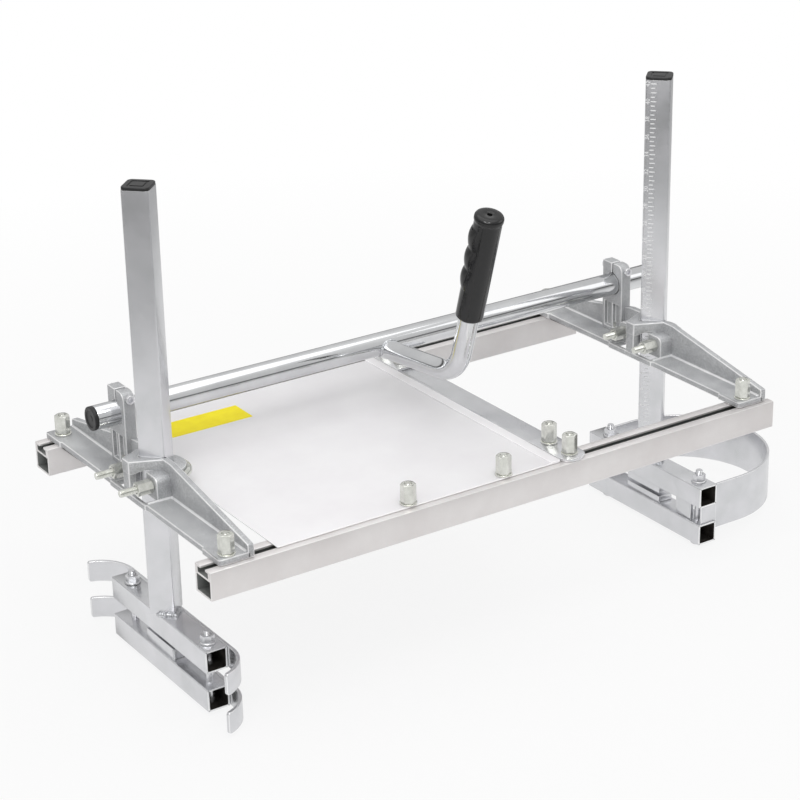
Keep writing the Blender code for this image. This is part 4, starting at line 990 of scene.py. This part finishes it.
def makeBrace():
    low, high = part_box("cross_brace")
    top, wall, lipX = high[2] - brace["lipRise"], brace["wall"], low[0] + brace["lip"]
    frontEnd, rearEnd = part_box("brace_front_plate")[1][1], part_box("brace_rear_plate")[0][1]
    channel = addBox("crossBrace", low, (high[0], high[1], top))
    for place, away in (((lipX, 0, 0), (1, 0, 0)), ((0, frontEnd + gap, 0), (0, 1, 0)),
                        ((0, rearEnd - gap, 0), (0, 1, 0))):
        editWhere(channel)
        bpy.ops.mesh.bisect(plane_co=place, plane_no=away)
        editDone()
    # a low lip stands along its left edge, between the joint plates
    editWhere(channel, "FACE", lambda face: face.normal.z > aligned
              and face.calc_center_median().x < lipX
              and frontEnd < face.calc_center_median().y < rearEnd)
    extrudeBy((0, 0, brace["lipRise"]))
    editDone()
    carve(channel, addBox("inside", (low[0] + wall, low[1] - over, low[2] - over),
                          (high[0] - wall, high[1] + over, top - wall)))
    finishPiece(softenEdges(channel, brace["edge"], 3), "zincPlatedSteel", "cross_brace")


def makeJointPlate(name, node, end):
    # end is where the plate is rounded: 0 at its front, 1 at its rear
    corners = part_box(node)
    piece = addBox(name, *corners)
    roundEnd, plainEnd = corners[end][1], corners[1 - end][1]
    roundCorners(piece, "Z", plate["round"], 10, lambda place: abs(place.y - roundEnd) < close)
    roundCorners(piece, "Z", plate["corner"], 3, lambda place: abs(place.y - plainEnd) < close)
    finishPiece(softenEdges(piece, plate["edge"]), "zincPlatedSteel", node)


makeGuard()
makeBrace()
makeJointPlate("frontJointPlate", "brace_front_plate", 0)
makeJointPlate("rearJointPlate", "brace_rear_plate", 1)
print("guard and brace made")


# handle: pipe, branch, grip and plugs
pipe = {**sizes(wall=2.0, rim=0.5, plugRim=4.0, plugEdge=0.45, plugLength=14.0),
        "plugRings": ((3.4, 0), (0.6, -0.9), (5.0, 0), (0.4, 0.35))}    # width and depth in mm
branch = {**sizes(diameter=21.5, wall=2.0, drop=5.7, tail=3.7, reach=111.2, bend=45.0, neck=45.0,
                  insert=100.0, hollow=30.0), "rise": radians(6), "lean": radians(17.3),
          "bendSteps": 28}
grip = {**sizes(diameter=29.0, length=124.0, ridge=2.9, pitch=24.0, lobesFromTop=52.0, collar=0.8,
                collarHeight=8.0, collarSlope=1.5, topRound=3.8, lipRound=1.2, hole=6.0,
                holeEdge=0.3, holeDepth=12.0), "ridgeSide": radians(30), "lobes": 3, "rings": 154}
pipeLow, pipeHigh, pipeMiddle = boxOf("handle_pipe")
_, pipeY, pipeZ = pipeMiddle
pipeDiameter = pipeHigh[1] - pipeLow[1]
lean, rise = branch["lean"], branch["rise"]
# the arm climbs a little towards the front, with its end open below the pipe
armAxis = Vector((0, -cos(rise), sin(rise)))
armUp = Vector((0, sin(rise), cos(rise)))
armFoot = Vector((boxOf("handle_branch")[2][0], pipeY, pipeZ - branch["drop"]))
bendStart = armFoot + armAxis * branch["reach"]
bendCentre = bendStart + armUp * branch["bend"]
gripAxis = Vector((0, -sin(lean), cos(lean)))
bendEnd = bendCentre - Vector((0, cos(lean), sin(lean))) * branch["bend"]
gripBase = bendEnd + gripAxis * branch["neck"]


def makePipe():
    rod = addRod("handlePipe", pipeDiameter, pipeHigh[0] - pipeLow[0], pipeMiddle, "X", 96)
    openEnds(rod, "X", pipe["wall"])
    softenEdges(rod, pipe["rim"], 2, 60)
    finishPiece(rod, "chromePlate", "handle_pipe")


def makePlug(name, node, side):
    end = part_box(node)[(side + 1) // 2][0]
    rim = addRod(name, pipeDiameter, pipe["plugRim"],
                 (end - side * pipe["plugRim"] / 2, pipeY, pipeZ), "X", 72)
    editWhere(rim, "FACE", facing("X", side))
    for width, depth in pipe["plugRings"]:
        bpy.ops.mesh.inset(thickness=width * mm, depth=depth * mm)
    editDone()
    softenEdges(rim, pipe["plugEdge"], 3, 50)
    stemX = end - side * (pipe["plugRim"] + pipe["plugLength"] / 2 - 1 * mm)
    stem = addRod("stem", pipeDiameter - 2 * pipe["wall"] - 2 * gap, pipe["plugLength"],
                  (stemX, pipeY, pipeZ), "X", 48)
    finishPiece(joinAll(rim, stem), "blackPolyethylene", node)


def makeBranch():
    start = armFoot - armAxis * branch["tail"]
    piece = addDisc("handleBranch", branch["diameter"], 64, start, (pi / 2 - rise, 0, 0))
    editWhere(piece)
    extrudeBy(bendStart - start)
    bpy.ops.mesh.spin(steps=branch["bendSteps"], angle=pi / 2 - lean - rise, center=bendCentre,
                      axis=(1, 0, 0))
    extrudeBy(gripAxis * (branch["neck"] + branch["insert"]))
    editDone()
    # the open end, then the seat that is cut for the pipe
    editWhere(piece, "FACE", lambda face: len(face.verts) > 4
              and (face.calc_center_median() - start).length < close)
    bpy.ops.mesh.inset(thickness=branch["wall"], depth=0.0)
    extrudeBy(armAxis * branch["hollow"])
    editDone()
    carve(piece, addRod("seat", pipeDiameter + 2 * gap, 40 * mm, (armFoot.x, pipeY, pipeZ),
                        "X", 96))
    finishPiece(piece, "chromePlate", "handle_branch")


def gripPush(point, length):
    # how far the grip's skin stands out of its plain cylinder: lobes for the fingers on the
    # rear side, a collar at the top, and both rims rounded over
    height = point.z
    along = height - (length - grip["lobesFromTop"])
    lobed = abs(along) < grip["lobes"] * grip["pitch"] / 2
    crest = abs(cos(pi * along / grip["pitch"])) ** 0.7 if lobed else 0.0
    rear = Vector((-sin(grip["ridgeSide"]), cos(grip["ridgeSide"])))
    side = max(0.0, point.xy.normalized().dot(rear)) ** 1.5
    step = (height - length + grip["collarHeight"]) / grip["collarSlope"]
    push = grip["ridge"] * crest * side + grip["collar"] * max(0.0, min(1.0, step))
    for size, depth in ((grip["topRound"], length - height), (grip["lipRound"], height)):
        if depth < size:
            push -= size - sqrt(max(0.0, size * size - (size - depth) ** 2))
    return push


def makeGrip():
    radius, length = grip["diameter"] / 2, grip["length"]
    piece = addRod("handGrip", grip["diameter"], length, (0, 0, length / 2), "Z", 96)
    editWhere(piece, "EDGE", lambda edge: runsAlong(edge, "Z"))
    bpy.ops.mesh.subdivide(number_cuts=grip["rings"])
    editDone()
    editWhere(piece, "FACE", facing("Z"))     # top, with its small vent hole
    bpy.ops.mesh.inset(thickness=radius - grip["hole"] / 2, depth=0.0)
    bpy.ops.mesh.inset(thickness=grip["holeEdge"], depth=-grip["holeEdge"])
    extrudeBy((0, 0, -grip["holeDepth"]))
    editDone()
    for point in piece.data.vertices:
        if point.co.xy.length > radius - hair:
            point.co.xy += point.co.xy.normalized() * gripPush(point.co, length)
    editWhere(piece, "VERT")
    bpy.ops.transform.rotate(value=-lean, orient_axis="X", center_override=(0, 0, 0))
    bpy.ops.transform.translate(value=gripBase)
    editDone()
    finishPiece(piece, "softVinyl", "handle_grip", 50)


makePipe()
makePlug("leftPlug", "left_pipe_plug", -1)
makePlug("rightPlug", "right_pipe_plug", 1)
makeBranch()
makeGrip()
print("handle made")


# split blocks that hold the pipe
block = sizes(split=3.0, corner=9.0, pocketDepth=5.0, pocketRim=4.0, pocketHeight=30.0, rib=3.0,
              edge=0.8)
screw = sizes(head=9.5, headHeight=4.0, headEdge=0.5, socket=5.0, socketDepth=2.5, shank=5.0,
              shankInset=3.0, nutHeight=3.0)


def makeBlock():
    start, end = blockLow.x - over, blockHigh.x + over
    piece = addBox("leftPipeBlock", blockLow, blockHigh)
    roundCorners(piece, "X", block["corner"], 8, lambda place: place.y < pipeY and place.z > pipeZ)
    carve(piece, addRod("bore", pipeDiameter + 2 * gap, 60 * mm, (start, pipeY, pipeZ), "X", 72),
          addBox("split", (start, pipeY - block["split"] / 2, pipeZ),
                 (end, pipeY + block["split"] / 2, blockHigh.z + over)))
    pocketLow = blockLow.z + block["pocketRim"]
    for side in (-1, 1):
        near, far = sorted((pipeY + side * block["rib"] / 2, pipeY
                            + side * ((blockHigh.y - blockLow.y) / 2 - block["pocketRim"])))
        carve(piece, addBox("pocket", (start, near, pocketLow),
                            (blockLow.x + block["pocketDepth"], far,
                             pocketLow + block["pocketHeight"])))
    return softenEdges(piece, block["edge"], 3)


def makePinchScrew():
    low, high, (x, y, z) = boxOf("left_pinch_screw")
    head = addRod("pinchScrew", screw["head"], screw["headHeight"],
                  (x, low[1] + screw["headHeight"] / 2, z), "Y", 48)
    softenEdges(head, screw["headEdge"], 3)
    carve(head, addRod("socket", screw["socket"] / cos(pi / 6), 2 * screw["socketDepth"],
                       (x, low[1], z), "Y", 6))
    inset = screw["shankInset"]            # the shank starts inside the head
    shank = addRod("shank", screw["shank"], high[1] - low[1] - inset,
                   (x, y + inset / 2, z), "Y", 24)
    nut = addHexagon("nut", screw["head"], screw["nutHeight"],
                     Vector((x, blockHigh.y + gap + screw["nutHeight"] / 2, z)), "Y")
    return joinAll(head, shank, nut)


finishBothEnds(makeBlock(), "PipeBlock", "pipe_block", "castAluminium")
finishBothEnds(makePinchScrew(), "PinchScrew", "pinch_screw", "zincPlatedSteel", 30)
print("pipe blocks made")


# post caps
def makeCap(name, node):
    _, high, (x, y, _) = boxOf(node)
    half, plug = cap["side"] / 2, cap["plug"] / 2
    outer, inner = cap["groove"] / 2, cap["island"] / 2
    base, crown = capBase(node), high[2] - cap["crownDrop"]
    bed = crown - cap["grooveDepth"]
    top = addBox(name, (-half, -half, base), (half, half, crown))
    roundCorners(top, "Z", cap["corner"], 6)
    editWhere(top, "EDGE", lambda edge: middleOf(edge).z > crown - hair)
    bevelEdges(cap["edge"], 4)
    # a shallow square groove is moulded into its top
    groove = addBox("groove", (-outer, -outer, bed), (outer, outer, crown + over))
    carve(groove, addBox("island", (-inner, -inner, bed - over), (inner, inner, crown + 2 * over)))
    carve(top, groove)
    stem = addBox("stem", (-plug, -plug, base - cap["plugLength"]), (plug, plug, base + 1 * mm))
    roundCorners(stem, "Z", 1 * mm, 3)
    standOnEdge(joinAll(top, stem), x, y)
    finishPiece(top, "blackPolyethylene", node)


makeCap("leftPostCap", "left_post_cap")
makeCap("rightPostCap", "right_post_cap")
print("post caps made")


# welds
weld = {**sizes(bead=3.0, spacing=2.9, grain=0.55, branchBead=1.5, padBead=1.9, padStep=3.0),
        "branchDrops": 25, "branchFrom": -36, "branchTo": 216, "padDrops": 4}


def layBead(name, points, node, size):
    # overlapping drops along the joint, melted into one skin
    drops = []
    for i, point in enumerate(points):
        nothingSelected()
        swell = 1 + 0.16 * sin(i * 2.4) + 0.08 * sin(i * 5.1 + 1)
        bpy.ops.mesh.primitive_ico_sphere_add(subdivisions=2, radius=size * swell, location=point)
        drops.append(keepPlace("drop"))
    bead = joinAll(*drops)
    bead.name = bead.data.name = name
    applyTool(bead, "REMESH", mode="VOXEL", voxel_size=weld["grain"])
    applyTool(bead, "SMOOTH", factor=0.5, iterations=2)
    finishPiece(bead, "weldMetal", node, 180, stands=False)


def walk(corners, spacing):
    # evenly spaced points along a closed run of corners
    points = []
    for start, end in zip(corners, corners[1:] + corners[:1]):
        start, end = Vector(start), Vector(end)
        count = max(1, round((end - start).length / spacing))
        points += [start.lerp(end, i / count) for i in range(count)]
    return points


def weldPost(name, postNode, barNode):
    _, _, (x, y, _) = boxOf(postNode)
    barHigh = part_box(barNode)[1]
    reach = postSide / sqrt(2) + apart
    z = barHigh[2] + 0.9 * mm
    # the post's corners overhang the bar on both sides, and the bead follows what rests on it
    edgeX = min(reach, barHigh[0] - x - 1.0 * mm)
    drop = reach - edgeX
    corners = [(x - edgeX, y - drop, z), (x, y - reach, z), (x + edgeX, y - drop, z),
               (x + edgeX, y + drop, z), (x, y + reach, z), (x - edgeX, y + drop, z)]
    layBead(name, walk(corners, weld["spacing"]), postNode, weld["bead"])


def weldBranch():
    # the bead follows the line where the arm's round meets the pipe's round
    points = []
    reach = branch["diameter"] / 2 + apart
    drops, sweep = weld["branchDrops"], weld["branchTo"] - weld["branchFrom"]
    for i in range(drops):
        angle = radians(weld["branchFrom"] + sweep * i / (drops - 1))
        aside = armFoot + Vector((reach * cos(angle), 0, 0)) + armUp * reach * sin(angle)
        offset = aside - Vector((aside.x, pipeY, pipeZ))
        start = offset.dot(armAxis)
        left = (pipeDiameter / 2) ** 2 - (offset.length_squared - start ** 2)
        if left > 0:
            points.append(aside + armAxis * (sqrt(left) - start + 0.3 * mm))
    layBead("branchWeld", points, "handle_branch", weld["branchBead"])


def weldPad():
    # drops down the front end of the left lower pad
    low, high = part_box("left_lower_pad")
    layBead("leftPadWeld", [(low[0] + 1 * mm, low[1] - 0.5 * mm, high[2] - 2 * mm
                             - i * weld["padStep"]) for i in range(weld["padDrops"])],
            "left_lower_pad", weld["padBead"])


weldPost("leftPostWeld", "left_post", "left_upper_bar")
weldPost("rightPostWeld", "right_post", "right_upper_bar")
weldBranch()
weldPad()
print("welds made")


# rule marks on the right post
rule = {**sizes(fromBottom=30.0, fromTop=1.5, step=5.0, line=1.1, short=4.4, long=6.0,
                fromEdge=6.2, proud=0.05, text=6.6, textAside=3.1), "faceAngle": radians(-135)}


def addTicks(edge, length, start, span):
    # every second step, counted from start, so that long and short ticks never coincide
    step, half = 2 * rule["step"], rule["line"] / 2
    tick = addBox("tick", (edge, start - half, -rule["proud"]),
                  (edge + length, start + half, rule["proud"]))
    applyTool(tick, "ARRAY", count=int((span - start) / step) + 1, use_relative_offset=False,
              use_constant_offset=True, constant_offset_displace=(0, step, 0))
    return tick


def addNumber(text, place):
    # turned to be read along the post
    nothingSelected()
    bpy.ops.object.text_add(location=place, rotation=(0, 0, pi / 2))
    words = bpy.context.active_object
    setAll(words.data, body=text, size=rule["text"], align_x="CENTER", align_y="CENTER",
           extrude=rule["proud"], resolution_u=2)
    bpy.ops.object.convert(target="MESH")
    return keepPlace("number")


def makeRule(name, postNode):
    # marks are laid flat at the origin in X (across the face) and Y (up the post), then stood up
    low, _, (x, y, _) = boxOf(postNode)
    span = capBase(postNode + "_cap") - low[2] - rule["fromBottom"] - rule["fromTop"]
    edge = -postSide / 2 + rule["fromEdge"]
    marks = [addTicks(edge, rule["short"], rule["step"], span),
             addTicks(edge, rule["long"], 0.0, span)]
    marks += [addNumber(str(2 * i), (edge - rule["textAside"], i * 20 * mm, 0))
              for i in range(1, int(span / (20 * mm)) + 1)]
    marks = joinAll(*marks)
    marks.name = marks.data.name = name
    outward = Vector((cos(rule["faceAngle"]), sin(rule["faceAngle"]), 0))
    up = Vector((0, 0, 1))
    stand = Matrix((up.cross(outward), up, outward)).transposed().to_4x4()
    place = Vector((x, y, low[2] + rule["fromBottom"])) + outward * postSide / 2
    marks.matrix_world = Matrix.Translation(place) @ stand
    applyPlace(marks)
    finishPiece(marks, "frostedEtch", postNode, stands=False)


makeRule("rightRule", "right_post")
print("rule marks made")


# what stays as it was packed gets its finish
for node in ("left_foot_screw", "right_foot_screw"):
    part = frame["nodes"][node]
    part.data.materials.clear()
    part.data.materials.append(finishes["yellowZinc"])


# floor, backdrop and light
studio = {
    "floorSize": 14.0, "paper": "E0E0E0", "shadowShare": 0.15, "shadowRadius": 0.6,
    "whiteRadius": 1.6, "worldDiffuse": 0.66, "mirroredShadow": 0.35,
    "mirroredGlow": 1.05,
    # name, place, size and power
    "lamps": (("overhead", (-0.1, -0.1, 3.0), 3.0, 20.0), ("key", (-1.7, -1.9, 2.6), 1.8, 24.0),
              ("fill", (2.4, -1.2, 1.8), 1.6, 6.0), ("leftSparkle", (-1.0, -0.9, 2.4), 0.3, 3.5),
              ("rightSparkle", (-0.25, -1.35, 2.4), 0.3, 3.5)),
    # what metal sees round the studio, by sine of height: a dark gap at the horizon, grey walls
    # and a bright top
    "surround": ((-1.0, 0.75), (-0.03, 0.75), (0.0, 0.1), (0.09, 0.1), (0.17, 0.68), (0.64, 0.75),
                 (0.87, 0.94)),
    # what metal sees of the floor, by distance in metres: white paper near, darker far away
    "floorMirrored": ((0.5, 0.96), (1.3, 0.8), (1.6, 0.65), (1.95, 0.4), (2.5, 0.38))}
white = (1, 1, 1, 1)


def seenPlainly(tree, path):
    # rays that come straight from the camera or through something clear
    return addNode(tree, "Math", {"operation": "MAXIMUM"},
                   {0: path["Is Camera Ray"], 1: path["Is Transmission Ray"]})


def mixShaders(tree, share, first, second):
    return addNode(tree, "MixShader", None, {0: share, 1: first, 2: second})


def makeFloor():
    nothingSelected()
    bpy.ops.mesh.primitive_plane_add(size=studio["floorSize"])
    floor = keepPlace("studioFloor")
    material = bpy.data.materials.new("palePaperFloor")
    tree = emptyTree(material)
    # matt paper that takes the object's shadow
    paper = addNode(tree, "BsdfPrincipled", {"Base Color": linear(studio["paper"]),
                                             "Roughness": 0.9, "Specular IOR Level": 0.1})
    path = addNode(tree, "LightPath").outputs
    place = addNode(tree, "TexCoord").outputs["Object"]
    away = addNode(tree, "VectorMath", {"operation": "LENGTH"}, {0: place}).outputs["Value"]
    # the camera sees white paper that keeps its shadow near the object
    bleached = addNode(tree, "MapRange", {"From Min": studio["shadowRadius"],
                                          "From Max": studio["whiteRadius"],
                                          "To Min": 1 - studio["shadowShare"], "To Max": 1.0},
                       {"Value": away})
    shown = addNode(tree, "Math", {"operation": "MULTIPLY"},
                    {0: seenPlainly(tree, path), 1: bleached})
    glow = addNode(tree, "Emission", {"Color": white, "Strength": 1.0})
    lit = mixShaders(tree, shown, paper, glow)
    # metal sees it dim with distance
    reach = studio["floorMirrored"][-1][0]
    ratio = addNode(tree, "Math", {"operation": "DIVIDE", 1: reach}, {0: away})
    dimming = addRamp(tree, ratio, [(far / reach, value)
                                    for far, value in studio["floorMirrored"]])
    bright = addNode(tree, "Emission", {"Strength": studio["mirroredGlow"]}, {"Color": dimming})
    mirrored = addNode(tree, "MixShader", {0: studio["mirroredShadow"]}, {1: bright, 2: paper})
    addNode(tree, "OutputMaterial", None,
            {"Surface": mixShaders(tree, path["Is Glossy Ray"], lit, mirrored)})
    floor.data.materials.clear()
    floor.data.materials.append(material)


def makeLamps():
    for name, place, size, power in studio["lamps"]:
        lamp = bpy.data.objects.new(name, bpy.data.lights.new(name, "AREA"))
        bpy.context.scene.collection.objects.link(lamp)
        setAll(lamp.data, shape="SQUARE", size=size, energy=power)
        lamp.location = place
        lamp.rotation_euler = (-Vector(place)).to_track_quat("-Z", "Y").to_euler()


def makeWorld():
    world = bpy.data.worlds.new("studioWorld")
    bpy.context.scene.world = world
    tree = emptyTree(world)
    path = addNode(tree, "LightPath").outputs
    direction = addNode(tree, "TexCoord").outputs["Generated"]
    height = addNode(tree, "SeparateXYZ", None, {"Vector": direction}).outputs["Z"]
    along = addNode(tree, "MapRange", {"From Min": -1.0, "From Max": 1.0}, {"Value": height})
    around = addRamp(tree, along, [((sine + 1) / 2, value) for sine, value in studio["surround"]])
    mirrored = addNode(tree, "Background", {"Strength": 1.0}, {"Color": around})
    soft, plain = (addNode(tree, "Background", {"Color": white, "Strength": strength})
                   for strength in (studio["worldDiffuse"], 1.0))
    onPieces = mixShaders(tree, path["Is Glossy Ray"], soft, mirrored)
    addNode(tree, "OutputWorld", None,
            {"Surface": mixShaders(tree, seenPlainly(tree, path), onPieces, plain)})


makeFloor()
makeLamps()
makeWorld()
bpy.context.scene.view_settings.view_transform = "Standard"
print("studio made")
